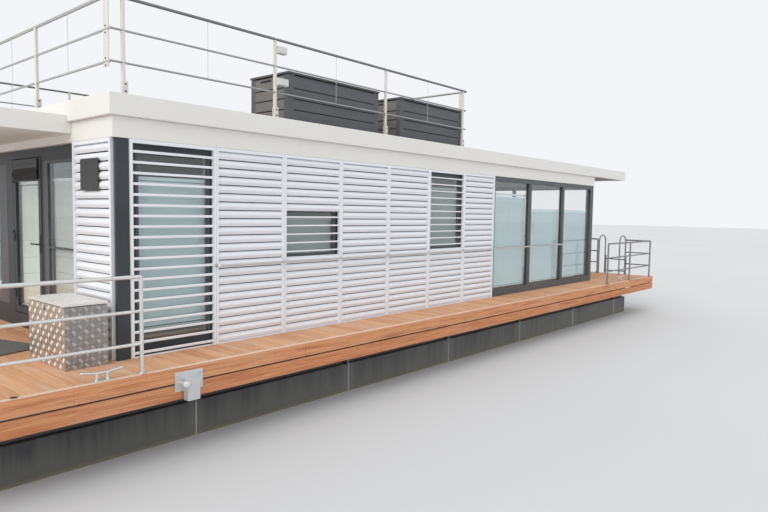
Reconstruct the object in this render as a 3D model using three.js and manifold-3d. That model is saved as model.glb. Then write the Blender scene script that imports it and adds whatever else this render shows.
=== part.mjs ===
// A houseboat: a flat cabin with louvred walls on a concrete pontoon with a timber deck.
// Millimetres, +Z up, +X towards the fore end, -Y the near long side.
// The origin is the centre of the pontoon's flat bottom.

import * as THREE from "three";
import { mergeVertices } from "three/addons/utils/BufferGeometryUtils.js";
import Module from "manifold-3d";

// Driving dimensions. Lengths along the boat are measured from the aft face of the cabin,
// widths from the cabin's near face, and heights from the top of the deck.
const TERRACE_AFT = 2060;
const CABIN_LENGTH = 11640;
const CABIN_WIDTH = 6170;
const TERRACE_FORE = 2300;
const SIDE_DECK = 690;
const DECK_TOP = 1500;
const HULL_TOP = -500;
const WALL_TOP = 2240;
const HEAD_BAND = 214;
const ROOF_BAND = 219;
const ROOF_FORE = 1820;
const ROOF_LIP = 50;
const FLOOR_TOP = 180;
const SCREEN_DEPTH = 46;
const PANEL = 1000;
const COLUMN = 180;
const SEAT_GAP = 0.3;
const RUNNING_GAP = 8;

// How far one shape reaches into another that it is joined to, and a cutter past what it cuts.
const OVERLAP = 1;
const PAST = 10;

const wasm = await Module();
wasm.setup();

// Frame: along(), across() and up() turn boat measures into the part's coordinates.
const DECK_SPAN = [-TERRACE_AFT, CABIN_LENGTH + TERRACE_FORE];
const DECK_WIDTH_SPAN = [-SIDE_DECK, CABIN_WIDTH + SIDE_DECK];
const CENTRE_ALONG = (DECK_SPAN[0] + DECK_SPAN[1]) / 2;
const MIDDLE = CABIN_WIDTH / 2;
const along = (distance) => distance - CENTRE_ALONG;
const across = (distance) => distance - MIDDLE;
const up = (height) => height + DECK_TOP;

const SIDES = ["near", "far"];
const onSide = (side, [from, to]) => (
  side === "near" ? [from, to] : [CABIN_WIDTH - to, CABIN_WIDTH - from]);
const lineOnSide = (side, line) => (side === "near" ? line : CABIN_WIDTH - line);
const inset = ([from, to], amount) => [from + amount, to - amount];
const around = (line, half) => [line - half, line + half];

const finishes = {
  concrete: { color: 0x8d8d89, roughness: 0.95, metalness: 0 },
  galvanised: { color: 0x9aa0a3, roughness: 0.45, metalness: 0.9 },
  larch: { color: 0xc08457, roughness: 0.7, metalness: 0 },
  anthracite: { color: 0x2f3438, roughness: 0.45, metalness: 0.2 },
  whitePaint: { color: 0xe9e6e0, roughness: 0.4, metalness: 0 },
  whiteLouvre: { color: 0xe4e0dc, roughness: 0.4, metalness: 0.1 },
  roofFilm: { color: 0x8f9294, roughness: 0.8, metalness: 0 },
  stainless: { color: 0xc9cccc, roughness: 0.3, metalness: 1 },
  glass: { color: 0x9fb0b0, roughness: 0.05, metalness: 0 },
  blindSlat: { color: 0xc9d3cb, roughness: 0.6, metalness: 0 },
  chequerPlate: { color: 0xb9b4a8, roughness: 0.35, metalness: 1 },
  boxPlastic: { color: 0x3b3d42, roughness: 0.7, metalness: 0 },
  innerPanel: { color: 0xd8d4cb, roughness: 0.8, metalness: 0 },
};

const materials = Object.fromEntries(
  Object.entries(finishes).map(([name, look]) => [name, new THREE.MeshStandardMaterial(look)]),
);

// Shapes.

// A block between two corners given as spans [from, to] in boat measures.
function block(lengthSpan, widthSpan, heightSpan) {
  const [x0, x1] = lengthSpan.map(along);
  const [y0, y1] = widthSpan.map(across);
  const [z0, z1] = heightSpan.map(up);
  const geometry = new THREE.BoxGeometry(x1 - x0, y1 - y0, z1 - z0);
  return geometry.translate((x0 + x1) / 2, (y0 + y1) / 2, (z0 + z1) / 2);
}

function extrude(points, [from, to]) {
  const shape = new THREE.Shape(points.map(([a, b]) => new THREE.Vector2(a, b)));
  return new THREE.ExtrudeGeometry(shape, { depth: to - from, bevelEnabled: false });
}

// A prism along the boat: its outline is given as [width, height] points.
function prismAlong(points, span) {
  const turn = new THREE.Matrix4().makeBasis(
    new THREE.Vector3(0, 1, 0), new THREE.Vector3(0, 0, 1), new THREE.Vector3(1, 0, 0));
  const placed = points.map(([width, height]) => [across(width), up(height)]);
  return extrude(placed, span).applyMatrix4(turn).translate(along(span[0]), 0, 0);
}

// A prism across the boat: its outline is given as [length, height] points.
function prismAcross(points, span) {
  const turn = new THREE.Matrix4().makeBasis(
    new THREE.Vector3(1, 0, 0), new THREE.Vector3(0, 0, 1), new THREE.Vector3(0, -1, 0));
  const placed = points.map(([length, height]) => [along(length), up(height)]);
  return extrude(placed, span).applyMatrix4(turn).translate(0, across(span[1]), 0);
}

const toPoint = ([length, width, height]) => new THREE.Vector3(
  along(length), across(width), up(height));

// A round bar between two points [length, width, height].
function bar(from, to, radius, sides = 8) {
  const start = toPoint(from);
  const end = toPoint(to);
  const run = end.clone().sub(start);
  const geometry = new THREE.CylinderGeometry(radius, radius, run.length(), sides);
  const turn = new THREE.Quaternion().setFromUnitVectors(
    new THREE.Vector3(0, 1, 0), run.clone().normalize());
  geometry.applyQuaternion(turn);
  return geometry.translate(...start.add(end).multiplyScalar(0.5).toArray());
}

const uprightBar = (length, width, [from, to], radius, sides) => bar(
  [length, width, from], [length, width, to], radius, sides);

// A route straight from point to point, for a bent bar swept in one piece.
class PointRoute extends THREE.Curve {
  constructor(points) {
    super();
    this.points = points.map(toPoint);
  }

  getPoint(share, target = new THREE.Vector3()) {
    const place = share * (this.points.length - 1);
    const index = Math.min(Math.floor(place), this.points.length - 2);
    return target.lerpVectors(this.points[index], this.points[index + 1], place - index);
  }

  getPointAt(share, target) {
    return this.getPoint(share, target);
  }
}

function sweptBar(points, radius, sides = 8) {
  const section = new THREE.Shape(Array.from({ length: sides }, (_, i) => {
    const turn = 2 * Math.PI * (i + 0.5) / sides;
    return new THREE.Vector2(radius * Math.cos(turn), radius * Math.sin(turn));
  }));
  return new THREE.ExtrudeGeometry(section, {
    steps: points.length - 1, bevelEnabled: false, extrudePath: new PointRoute(points),
  });
}

// Joins and cuts.

function toSolid(geometry) {
  const bare = geometry.clone();
  bare.deleteAttribute("normal");
  bare.deleteAttribute("uv");
  const merged = mergeVertices(bare, 1e-3);
  const triVerts = Uint32Array.from(merged.index.array);
  const vertProperties = Float32Array.from(merged.attributes.position.array);
  return new wasm.Manifold(new wasm.Mesh({ numProp: 3, vertProperties, triVerts }));
}

function toGeometry(solid) {
  const mesh = solid.getMesh();
  const geometry = new THREE.BufferGeometry();
  geometry.setAttribute("position", new THREE.BufferAttribute(mesh.vertProperties, 3));
  geometry.setIndex(new THREE.BufferAttribute(mesh.triVerts, 1));
  const flat = geometry.toNonIndexed();
  flat.computeVertexNormals();
  return flat;
}

function join(geometries, cutters = []) {
  const whole = geometries.map(toSolid).reduce((sum, next) => sum.add(next));
  return toGeometry(cutters.map(toSolid).reduce((rest, next) => rest.subtract(next), whole));
}

// A ring of boards between an outer edge and the same edge set in by a thickness.
function ring(lengths, widths, thick, heights) {
  const hole = block(inset(lengths, thick), inset(widths, thick), inset(heights, -PAST));
  return join([block(lengths, widths, heights)], [hole]);
}

const houseboat = new THREE.Group();
houseboat.name = "houseboat";

function piece(name, geometry, material) {
  const mesh = new THREE.Mesh(geometry, material);
  mesh.name = name;
  houseboat.add(mesh);
}

// Pontoon: one concrete body with chamfered bottom edges, set in under the deck.
const HULL_SPAN = [-1300, 13170];
const HULL_SET_IN = 420;
const HULL_CHAMFER = 110;
const HULL_WIDTH_SPAN = inset(DECK_WIDTH_SPAN, HULL_SET_IN);

function pontoon() {
  const [near, far] = HULL_WIDTH_SPAN;
  const bottom = -DECK_TOP;
  const section = [
    [near + HULL_CHAMFER, bottom], [far - HULL_CHAMFER, bottom], [far, bottom + HULL_CHAMFER],
    [far, HULL_TOP], [near, HULL_TOP], [near, bottom + HULL_CHAMFER],
  ];
  const reach = HULL_CHAMFER + PAST;
  const wedges = [[HULL_SPAN[0], 1], [HULL_SPAN[1], -1]].map(([end, inward]) => {
    const corner = end - inward * PAST;
    return prismAcross([[corner, bottom - PAST], [end + inward * reach, bottom - PAST],
      [corner, bottom + reach]], DECK_WIDTH_SPAN);
  });
  return join([prismAlong(section, HULL_SPAN)], wedges);
}

// The clear fields between posts of a given width: lines are the middles of the inner posts.
function fields([from, to], lines, post) {
  const starts = [from, ...lines.map((line) => line + post / 2)];
  const ends = [...lines.map((line) => line - post / 2), to];
  return starts.map((start, i) => [start, ends[i]]);
}

// Bearers: a steel ring on the pontoon's rim, with a cross beam and two edge brackets
// over each seam of the concrete.
const BOARD_THICK = 30;
const FRAME_BOTTOM = -150;
const BEARER_SET_IN = 60;
const BEARER_THICK = 70;
const SEAM_LINES = [750, 3090, 5430, 7770, 10110, 12450];
const BRACKET = { half: 28, setIn: 5, top: -390 };

function deckBearers() {
  const lengths = inset(HULL_SPAN, BEARER_SET_IN);
  const widths = inset(HULL_WIDTH_SPAN, BEARER_SET_IN);
  const heights = [HULL_TOP, FRAME_BOTTOM];
  const pockets = fields(inset(lengths, BEARER_THICK), SEAM_LINES, BEARER_THICK).map(
    (field) => block(field, inset(widths, BEARER_THICK), inset(heights, -PAST)));
  const brackets = SEAM_LINES.flatMap((line) => SIDES.map((side) => block(
    around(line, BRACKET.half),
    onSide(side, [HULL_WIDTH_SPAN[0] + BRACKET.setIn, widths[0] + BEARER_THICK / 2]),
    [HULL_TOP, BRACKET.top])));
  return join([join([block(lengths, widths, heights)], pockets), ...brackets]);
}

// Deck: a galvanised grid of beams, boards on top and two fascia boards all round.
const FASCIA_THICK = 28;
const FASCIA_BOARD = 145;
const FASCIA_GAP = 17.5;
const BEAM_WIDTH = 60;
const GRID_BAYS = { along: 11, across: 4 };
const BATTEN = 45;
const BATTEN_FIELDS = { along: 6, across: 4 };

// The free spans between evenly spaced beams.
function bays([from, to], count) {
  const step = (to - from - BEAM_WIDTH) / count;
  return Array.from({ length: count }, (_, i) => [
    from + Math.round(i * step) + BEAM_WIDTH, from + Math.round((i + 1) * step)]);
}

function deckFrame() {
  const heights = [FRAME_BOTTOM, -BOARD_THICK];
  const lengths = inset(DECK_SPAN, FASCIA_THICK + BATTEN);
  const widths = inset(DECK_WIDTH_SPAN, FASCIA_THICK + BATTEN);
  const pockets = bays(lengths, GRID_BAYS.along).flatMap((length) => (
    bays(widths, GRID_BAYS.across).map((width) => block(length, width, inset(heights, -PAST)))));
  return join([block(lengths, widths, heights)], pockets);
}

function deckFascia() {
  const boards = [0, 1].map((row) => {
    const top = -row * (FASCIA_BOARD + FASCIA_GAP);
    return ring(DECK_SPAN, DECK_WIDTH_SPAN, FASCIA_THICK, [top - FASCIA_BOARD, top]);
  });
  const heights = [-2 * FASCIA_BOARD - FASCIA_GAP + BATTEN / 4, -BOARD_THICK - BATTEN / 4];
  const lengths = inset(DECK_SPAN, FASCIA_THICK);
  const widths = inset(DECK_WIDTH_SPAN, FASCIA_THICK);
  const starts = ([from, to], fields) => Array.from({ length: fields + 1 }, (_, i) => (
    from + Math.round((to - from - BATTEN) * i / fields)));
  const edges = ([from, to]) => [[from - OVERLAP, from + BATTEN], [to - BATTEN, to + OVERLAP]];
  const sideBattens = starts(lengths, BATTEN_FIELDS.along).flatMap((start) => (
    edges(widths).map((edge) => block([start, start + BATTEN], edge, heights))));
  const endBattens = starts(widths, BATTEN_FIELDS.across).slice(1, -1).flatMap((start) => (
    edges(lengths).map((edge) => block(edge, [start, start + BATTEN], heights))));
  return join([...boards, ...sideBattens, ...endBattens]);
}

piece("pontoon", pontoon(), materials.concrete);
piece("deck_bearers", deckBearers(), materials.galvanised);
piece("deck_frame", deckFrame(), materials.galvanised);
piece("deck_boards", block(inset(DECK_SPAN, FASCIA_THICK), inset(DECK_WIDTH_SPAN, FASCIA_THICK),
  [-BOARD_THICK, 0]), materials.larch);
piece("deck_fascia", deckFascia(), materials.larch);

// Cabin walls. Openings are spans along the wall and in height.
const WALL_THICK = 140;
const OUTER = 60;
const INNER = OUTER + WALL_THICK;
const GLAZING_START = COLUMN + 7 * PANEL;
const THROUGH_WALL = inset([OUTER, INNER], -50);

// Windows of each long wall.
const WINDOWS = [
  { name: "bay", lengths: [270, 1150], heights: [120, 2150] },
  { name: "small", lengths: [2240, 3140], heights: [960, 1550] },
  { name: "tall", lengths: [5220, 6160], heights: [960, 2170] },
];

function longWall(side) {
  const wall = block([INNER, GLAZING_START], onSide(side, [OUTER, INNER]), [0, WALL_TOP]);
  const holes = WINDOWS.map(({ lengths, heights }) => block(
    lengths, onSide(side, THROUGH_WALL), heights));
  return join([wall], holes);
}

// Aft wall: the entrance door and two side lights, with a dark column round each corner.
const SIDE_LIGHT = { near: [1010, 1840], far: [3040, 5160], heights: [260, 2080] };
const DOOR_OPENING = { widths: [1930, 2830], heights: [FLOOR_TOP, 2140] };
const END_PANEL = [55, 920];
const COLUMN_BACK = SCREEN_DEPTH + 8;
const COLUMN_EDGE = { aft: 30, width: 36 };

// The entrance door's hinges: a line beside the leaf's far edge, in front of the wall's face.
const HINGE = {
  length: OUTER - 8,
  width: DOOR_OPENING.widths[1] - RUNNING_GAP + 1,
  heights: [420, 1150, 1880],
  radius: 7,
  knuckle: 45,
  strap: 45,
  strapDepth: [OUTER - 10, OUTER + OVERLAP],
};

// Knuckles with straps to one hand of the hinge line, over a span from each hinge's height.
function hingeHalf([low, high], hand) {
  const strap = [HINGE.width + hand * 2, HINGE.width + hand * HINGE.strap].sort((a, b) => a - b);
  return HINGE.heights.flatMap((height) => {
    const span = [height + low, height + high];
    return [
      uprightBar(HINGE.length, HINGE.width, span, HINGE.radius),
      block(HINGE.strapDepth, strap, span),
    ];
  });
}

function aftWall() {
  const slab = block([OUTER, INNER], [OUTER, CABIN_WIDTH - OUTER], [0, WALL_TOP]);
  const columns = SIDES.flatMap((side) => [
    block([COLUMN_BACK, COLUMN], onSide(side, [0, OUTER + OVERLAP]), [0, WALL_TOP]),
    block([COLUMN_EDGE.aft, COLUMN], onSide(side, [0, COLUMN_EDGE.width]), [0, WALL_TOP]),
  ]);
  const lights = SIDES.map((side) => block(THROUGH_WALL, SIDE_LIGHT[side], SIDE_LIGHT.heights));
  const door = block(THROUGH_WALL, DOOR_OPENING.widths, DOOR_OPENING.heights);
  const wall = join([slab, ...columns], [...lights, door]);
  return join([wall, ...hingeHalf([HINGE.knuckle + SEAT_GAP, 2 * HINGE.knuckle], 1)]);
}

const PARTITION = [6930, 7030];
const PARTITION_DOOR = { half: 400, top: 2150 };

function partition() {
  const wall = block(PARTITION, inset([0, CABIN_WIDTH], INNER), [FLOOR_TOP, WALL_TOP]);
  const doorway = block(inset(PARTITION, -PAST), around(MIDDLE, PARTITION_DOOR.half),
    [FLOOR_TOP - PAST, PARTITION_DOOR.top]);
  return join([wall], [doorway]);
}

for (const side of SIDES) {
  piece(`wall_${side}`, longWall(side), materials.anthracite);
}
piece("wall_aft", aftWall(), materials.anthracite);
piece("cabin_floor", block([INNER, CABIN_LENGTH - 90], inset([0, CABIN_WIDTH], INNER),
  [0, FLOOR_TOP]), materials.innerPanel);
piece("partition", partition(), materials.innerPanel);

// Glazing: mullioned frames of the living room on both long sides and the fore end.
const MULLION_LINES = [8560, 10050];
const FRAME_FACE = 10;
const FRAME_BACK = 90;
const MULLION = 100;
const JAMB = 40;
const CORNER_POST = 150;
const SIDE_SILL = 130;
const LINTEL = WALL_TOP - 90;
const REBATE = 15;
const PANE_DEPTH = [34, 54];

const GLAZING_FIELD = [GLAZING_START + JAMB, CABIN_LENGTH - CORNER_POST];
const paneWidths = (side) => onSide(side, PANE_DEPTH.map((depth) => FRAME_FACE + depth));

function sideGlazing(side) {
  const depth = onSide(side, [FRAME_FACE, FRAME_BACK]);
  const frame = block([GLAZING_START, CABIN_LENGTH], depth, [0, WALL_TOP]);
  const holes = fields(GLAZING_FIELD, MULLION_LINES, MULLION).map((lengths) => block(
    lengths, inset(depth, -PAST), [SIDE_SILL, LINTEL]));
  const rebate = block(inset(GLAZING_FIELD, -REBATE), paneWidths(side),
    inset([SIDE_SILL, LINTEL], -REBATE));
  return join([frame], [...holes, rebate]);
}

// One long pane lies in the rebate behind the mullions of a side.
function sidePane(side) {
  const reach = SEAT_GAP - REBATE;
  return block(inset(GLAZING_FIELD, reach), inset(paneWidths(side), SEAT_GAP),
    inset([SIDE_SILL, LINTEL], reach));
}

// Blinds hang behind the panes of a side: three stacks of slats on one head box.
const BLIND_DEPTH = [FRAME_BACK + 12, FRAME_BACK + 32];
const BLIND_MARGIN = 12;
const BLIND_HEAD = 60;

function sideBlinds(side) {
  const depth = onSide(side, BLIND_DEPTH);
  const whole = inset(GLAZING_FIELD, BLIND_MARGIN);
  const head = block(whole, onSide(side, [FRAME_BACK + SEAT_GAP, BLIND_DEPTH[1] + PAST]),
    [LINTEL - BLIND_HEAD, LINTEL]);
  const stacks = fields(whole, MULLION_LINES, MULLION + 2 * BLIND_MARGIN).map((lengths) => block(
    lengths, depth, [SIDE_SILL + BLIND_MARGIN, LINTEL - BLIND_HEAD + OVERLAP]));
  return join([head, ...stacks]);
}

for (const side of SIDES) {
  piece(`glazing_frame_${side}`, sideGlazing(side), materials.anthracite);
  piece(`glazing_pane_${side}`, sidePane(side), materials.glass);
  piece(`blinds_${side}`, sideBlinds(side), materials.blindSlat);
}

// Fore end: two fixed lights, and a doorway in the far third with a sliding leaf behind the frame.
const FORE_DEPTH = [CABIN_LENGTH - 85, CABIN_LENGTH - 5];
const FORE_WIDTH = inset([0, CABIN_WIDTH], FRAME_BACK);
const FORE_POST = 70;
const FORE_FIELD = (FORE_WIDTH[1] - FORE_WIDTH[0] - 4 * FORE_POST) / 3;
const FORE_LINES = [1, 2].map((i) => (
  FORE_WIDTH[0] + i * (FORE_FIELD + FORE_POST) + FORE_POST / 2));
const FORE_FIELDS = fields(inset(FORE_WIDTH, FORE_POST), FORE_LINES, FORE_POST);
const FIXED_LIGHTS = [FORE_FIELDS[0][0], FORE_FIELDS[1][1]];
const forePaneDepth = PANE_DEPTH.map((depth) => FORE_DEPTH[0] + depth);

const LEAF = {
  depth: [CABIN_LENGTH - 150, CABIN_LENGTH - 96],
  widths: inset(FORE_FIELDS[2], -20),
  heights: [FLOOR_TOP + 12, LINTEL + 30],
  stile: 75,
};

function foreGlazing() {
  const frame = block(FORE_DEPTH, FORE_WIDTH, [0, WALL_TOP]);
  const holes = FORE_FIELDS.map((widths) => block(
    inset(FORE_DEPTH, -PAST), widths, [FLOOR_TOP, LINTEL]));
  const rebate = block(forePaneDepth, inset(FIXED_LIGHTS, -REBATE),
    inset([FLOOR_TOP, LINTEL], -REBATE));
  const rail = block([LEAF.depth[0] - PAST, FORE_DEPTH[0] + OVERLAP],
    [INNER + 6, LEAF.widths[1]], [LEAF.heights[1] + SEAT_GAP, WALL_TOP]);
  return join([frame, rail], [...holes, rebate]);
}

function forePane() {
  const reach = SEAT_GAP - REBATE;
  return block(inset(forePaneDepth, SEAT_GAP), inset(FIXED_LIGHTS, reach),
    inset([FLOOR_TOP, LINTEL], reach));
}

// A door leaf with one light: the pane sits in a groove round the light.
const GROOVE = { half: 10, deep: 15 };

function leafFrame({ depth, widths, heights }, light, fittings) {
  const hole = block(inset(depth, -PAST), light.widths, light.heights);
  const groove = block(around((depth[0] + depth[1]) / 2, GROOVE.half),
    inset(light.widths, -GROOVE.deep), inset(light.heights, -GROOVE.deep));
  return join([block(depth, widths, heights), ...fittings], [hole, groove]);
}

function leafPane({ depth }, light) {
  const reach = SEAT_GAP - GROOVE.deep;
  return block(around((depth[0] + depth[1]) / 2, GROOVE.half - SEAT_GAP),
    inset(light.widths, reach), inset(light.heights, reach));
}

const LEAF_LIGHT = {
  widths: inset(LEAF.widths, LEAF.stile),
  heights: inset(LEAF.heights, LEAF.stile),
};

function slidingDoor() {
  const pull = block([LEAF.depth[0] - 22, LEAF.depth[0] + OVERLAP],
    [LEAF.widths[0] + 20, LEAF.widths[0] + 50], [1050, 1300]);
  const runner = block(inset(LEAF.depth, 17), [LEAF.widths[0] + 60, CABIN_WIDTH - INNER - PAST],
    [FLOOR_TOP + SEAT_GAP, LEAF.heights[0] + OVERLAP]);
  return leafFrame(LEAF, LEAF_LIGHT, [pull, runner]);
}

piece("glazing_frame_fore", foreGlazing(), materials.anthracite);
piece("glazing_pane_fore", forePane(), materials.glass);
piece("sliding_door", slidingDoor(), materials.anthracite);
piece("sliding_door_pane", leafPane(LEAF, LEAF_LIGHT), materials.glass);

// Entrance door: an outward opening leaf hinged at its far edge, with a lever on a long plate.
// Its light lies under a solid top panel.
const DOOR = {
  depth: [OUTER, OUTER + 58],
  widths: inset(DOOR_OPENING.widths, RUNNING_GAP),
  heights: inset(DOOR_OPENING.heights, RUNNING_GAP),
};
const DOOR_LIGHT = { widths: inset(DOOR.widths, 80), heights: [270, 1857] };
const LEVER = { height: 1090, stand: 45, set: 45, end: 215, radius: 10, plate: [8, 18, 110] };

function entranceDoor() {
  return leafFrame(DOOR, DOOR_LIGHT, hingeHalf([-HINGE.knuckle, HINGE.knuckle], -1));
}

function doorLever() {
  const line = DOOR.widths[0] + LEVER.set;
  const front = OUTER - LEVER.stand;
  const [thick, halfWidth, halfHeight] = LEVER.plate;
  const plate = block([OUTER - thick, OUTER - SEAT_GAP], around(line, halfWidth),
    around(LEVER.height, halfHeight));
  const spindle = bar([front, line, LEVER.height], [OUTER - thick + OVERLAP, line, LEVER.height],
    LEVER.radius);
  const lever = bar([front, line - LEVER.radius, LEVER.height],
    [front, DOOR.widths[0] + LEVER.end, LEVER.height], LEVER.radius);
  return join([plate, spindle, lever]);
}

piece("entrance_door", entranceDoor(), materials.anthracite);
piece("entrance_door_lever", doorLever(), materials.anthracite);
piece("entrance_door_pane", leafPane(DOOR, DOOR_LIGHT), materials.glass);

// Panes of the windows in the walls, each held in the opening near the wall's outer face.
const WINDOW_PANE = [OUTER + 14, OUTER + 38];

function windowPane(lengths, widths, heights) {
  return block(inset(lengths, SEAT_GAP), inset(widths, SEAT_GAP), inset(heights, SEAT_GAP));
}

for (const side of SIDES) {
  for (const { name, lengths, heights } of WINDOWS) {
    piece(`window_${name}_${side}`, windowPane(lengths, onSide(side, WINDOW_PANE), heights),
      materials.glass);
  }
  piece(`window_side_light_${side}`,
    windowPane(WINDOW_PANE, SIDE_LIGHT[side], SIDE_LIGHT.heights), materials.glass);
}

// Louvre screens: frames with stacked slats, closed ones bowed outwards and open ones thin.
const SLAT = { pitch: 92, back: 40, front: 6, edge: 20 };
const BLADE = { pitch: 106, half: 9 };
const FRAME_BAR = 35;
const SCREEN_HEIGHTS = [0, WALL_TOP];
const CORNER = COLUMN + PANEL;

// A stack of closed slats between two heights, as a [depth, height] outline.
function scallops([low, high]) {
  const count = Math.round((high - low) / SLAT.pitch);
  const pitch = (high - low) / count;
  const points = [[SLAT.back, high], [SLAT.back, low]];
  for (let i = 0; i < count; i += 1) {
    const base = low + i * pitch;
    points.push([SLAT.edge, base], [SLAT.front, base + pitch * 0.3],
      [SLAT.front, base + pitch * 0.7], [SLAT.edge, base + pitch]);
  }
  return points;
}

// Thin slats across an opening, as separate flat blades.
function blades(side, lengths, [low, high]) {
  const count = Math.round((high - low) / BLADE.pitch);
  const pitch = (high - low) / count;
  return Array.from({ length: count }, (_, i) => block(
    lengths, onSide(side, [SLAT.front, SLAT.back]),
    around(low + (i + 0.5) * pitch, BLADE.half)));
}

// Openings of the closed panels, each as wide as its panel, with the panel's number from aft.
const SCREEN_OPENINGS = [
  { panel: 2, heights: [973, 1537] },
  { panel: 5, heights: [992, WALL_TOP - FRAME_BAR] },
];

function openingField(panel) {
  const start = COLUMN + panel * PANEL;
  return inset([start, start + PANEL], FRAME_BAR / 2 - OVERLAP);
}

// The screen of a long side: one panel of open slats over the bay window, then six closed
// panels with open slats before the small and the tall window.
function longScreen(side) {
  const lengths = [COLUMN + OVERLAP, GLAZING_START - OVERLAP];
  const depth = onSide(side, [0, SCREEN_DEPTH]);
  const lines = Array.from({ length: 8 }, (_, i) => COLUMN + i * PANEL);
  const uprights = lines.map((line) => {
    const [from, to] = around(line, FRAME_BAR / 2);
    return block([Math.max(from, lengths[0]), Math.min(to, lengths[1])], depth, SCREEN_HEIGHTS);
  });
  const rails = [
    block(lengths, depth, [0, FRAME_BAR]),
    block(lengths, depth, [WALL_TOP - FRAME_BAR, WALL_TOP]),
  ];
  const outline = scallops(inset(SCREEN_HEIGHTS, 5)).map(([inward, height]) => [
    lineOnSide(side, inward), height]);
  const sheet = prismAlong(outline, [CORNER, lengths[1] - OVERLAP]);
  const holes = SCREEN_OPENINGS.map(({ panel, heights }) => block(
    openingField(panel), inset(depth, -PAST), heights));
  const openSlats = SCREEN_OPENINGS.flatMap(({ panel, heights }) => blades(
    side, openingField(panel), heights));
  const baySlats = blades(side, [lengths[0] + OVERLAP, CORNER],
    inset(SCREEN_HEIGHTS, FRAME_BAR));
  return join([join([sheet], holes), ...uprights, ...rails, ...openSlats, ...baySlats]);
}

// A screen across the boat beside the entrance. The near one carries a blank sign plate.
const SIGN = { depth: [-6, SLAT.back], widths: [260, 703], heights: [1725, 2050] };

function endScreen(side) {
  const widths = onSide(side, END_PANEL);
  const depth = [0, SCREEN_DEPTH];
  const sheet = prismAcross(scallops(inset(SCREEN_HEIGHTS, 5)), inset(widths, 5));
  const bars = [
    block(depth, [widths[0], widths[0] + FRAME_BAR], SCREEN_HEIGHTS),
    block(depth, [widths[1] - FRAME_BAR, widths[1]], SCREEN_HEIGHTS),
    block(depth, widths, [0, FRAME_BAR]),
    block(depth, widths, [WALL_TOP - FRAME_BAR, WALL_TOP]),
  ];
  const plates = side === "near" ? [block(SIGN.depth, SIGN.widths, SIGN.heights)] : [];
  return join([sheet, ...bars, ...plates]);
}

for (const side of SIDES) {
  piece(`screen_${side}`, longScreen(side), materials.whiteLouvre);
  piece(`screen_end_${side}`, endScreen(side), materials.whiteLouvre);
}

// Roof: a head band on the walls, the roof in two fields with a band round it,
// and a canopy over the entrance.
const HEAD_TOP = WALL_TOP + HEAD_BAND;
const ROOF_TOP = HEAD_TOP + ROOF_BAND;
const ROOF_FLOOR = HEAD_TOP + 146;
const BAND_THICK = 60;
const ROOF_SPAN = [-ROOF_LIP, CABIN_LENGTH + ROOF_FORE];
const ROOF_WIDTH_SPAN = inset([0, CABIN_WIDTH], -ROOF_LIP);
const TERRACE_END = 6420;
const CANOPY = { lengths: [-1500, 0], heights: [WALL_TOP + 90, HEAD_TOP + 70] };

function entranceCanopy() {
  const [aft, wall] = CANOPY.lengths;
  const [bottom, top] = CANOPY.heights;
  const section = [[aft, bottom], [wall, bottom], [wall, HEAD_TOP], [-ROOF_LIP, HEAD_TOP],
    [-ROOF_LIP, top], [aft, top]];
  return prismAcross(section, inset([0, CABIN_WIDTH], END_PANEL[1]));
}

function roofField(lengths) {
  return block(lengths, inset(ROOF_WIDTH_SPAN, BAND_THICK), [HEAD_TOP, ROOF_FLOOR]);
}

piece("head_band", ring([0, CABIN_LENGTH + 20], [0, CABIN_WIDTH], INNER, [WALL_TOP, HEAD_TOP]),
  materials.whitePaint);
piece("roof_terrace", roofField([ROOF_SPAN[0] + BAND_THICK, TERRACE_END]), materials.roofFilm);
piece("roof_slab", roofField([TERRACE_END, ROOF_SPAN[1] - BAND_THICK]), materials.roofFilm);
piece("roof_band", ring(ROOF_SPAN, ROOF_WIDTH_SPAN, BAND_THICK, [HEAD_TOP, ROOF_TOP]),
  materials.whitePaint);
piece("entrance_canopy", entranceCanopy(), materials.whitePaint);

// Rails: three round rails on posts. Heights are above what the posts stand on.
const POST = { radius: 21, footRadius: 48, foot: 10 };
const DECK_RAILS = [
  { height: 286, radius: 17.5 },
  { height: 592, radius: 17.5 },
  { height: 912, radius: 20 },
];
const DECK_RAIL_TOP = DECK_RAILS[2].height;
const RAIL_LINE = -620;
const RAIL_END = 90;

function railRun(points, rails) {
  return rails.flatMap(({ height, radius }) => points.slice(1).map((point, i) => bar(
    [...points[i], height], [...point, height], radius)));
}

function deckRail(run, places) {
  const posts = places.flatMap(([length, width]) => [
    uprightBar(length, width, [0, DECK_RAIL_TOP], POST.radius),
    uprightBar(length, width, [0, POST.foot], POST.footRadius),
  ]);
  return join([...railRun(run, DECK_RAILS), ...posts]);
}

// Aft terrace: an L on each side, with the boarding gap in the middle.
const BOARDING_GAP = around(MIDDLE, 600);
const AFT_RAIL_LINE = DECK_SPAN[0] + RAIL_END;
const AFT_POSTS = [-45, AFT_RAIL_LINE];

function aftRail(side) {
  const width = lineOnSide(side, RAIL_LINE);
  const gapEdge = lineOnSide(side, BOARDING_GAP[0]);
  const run = [[AFT_POSTS[0], width], [AFT_RAIL_LINE, width], [AFT_RAIL_LINE, gapEdge]];
  const sidePosts = AFT_POSTS.map((length) => [length, width]);
  const endPosts = [(width + gapEdge) / 2, gapEdge].map((line) => [AFT_RAIL_LINE, line]);
  return deckRail(run, [...sidePosts, ...endPosts]);
}

// Fore terrace: the gap for the swim ladder lies near the near corner.
const FORE_RAIL_LINE = DECK_SPAN[1] - RAIL_END;
const FORE_POSTS = [11090, 12450, FORE_RAIL_LINE];
const FORE_END_POSTS = { near: [10], far: [760, 2100, 3660, 5230] };

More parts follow.
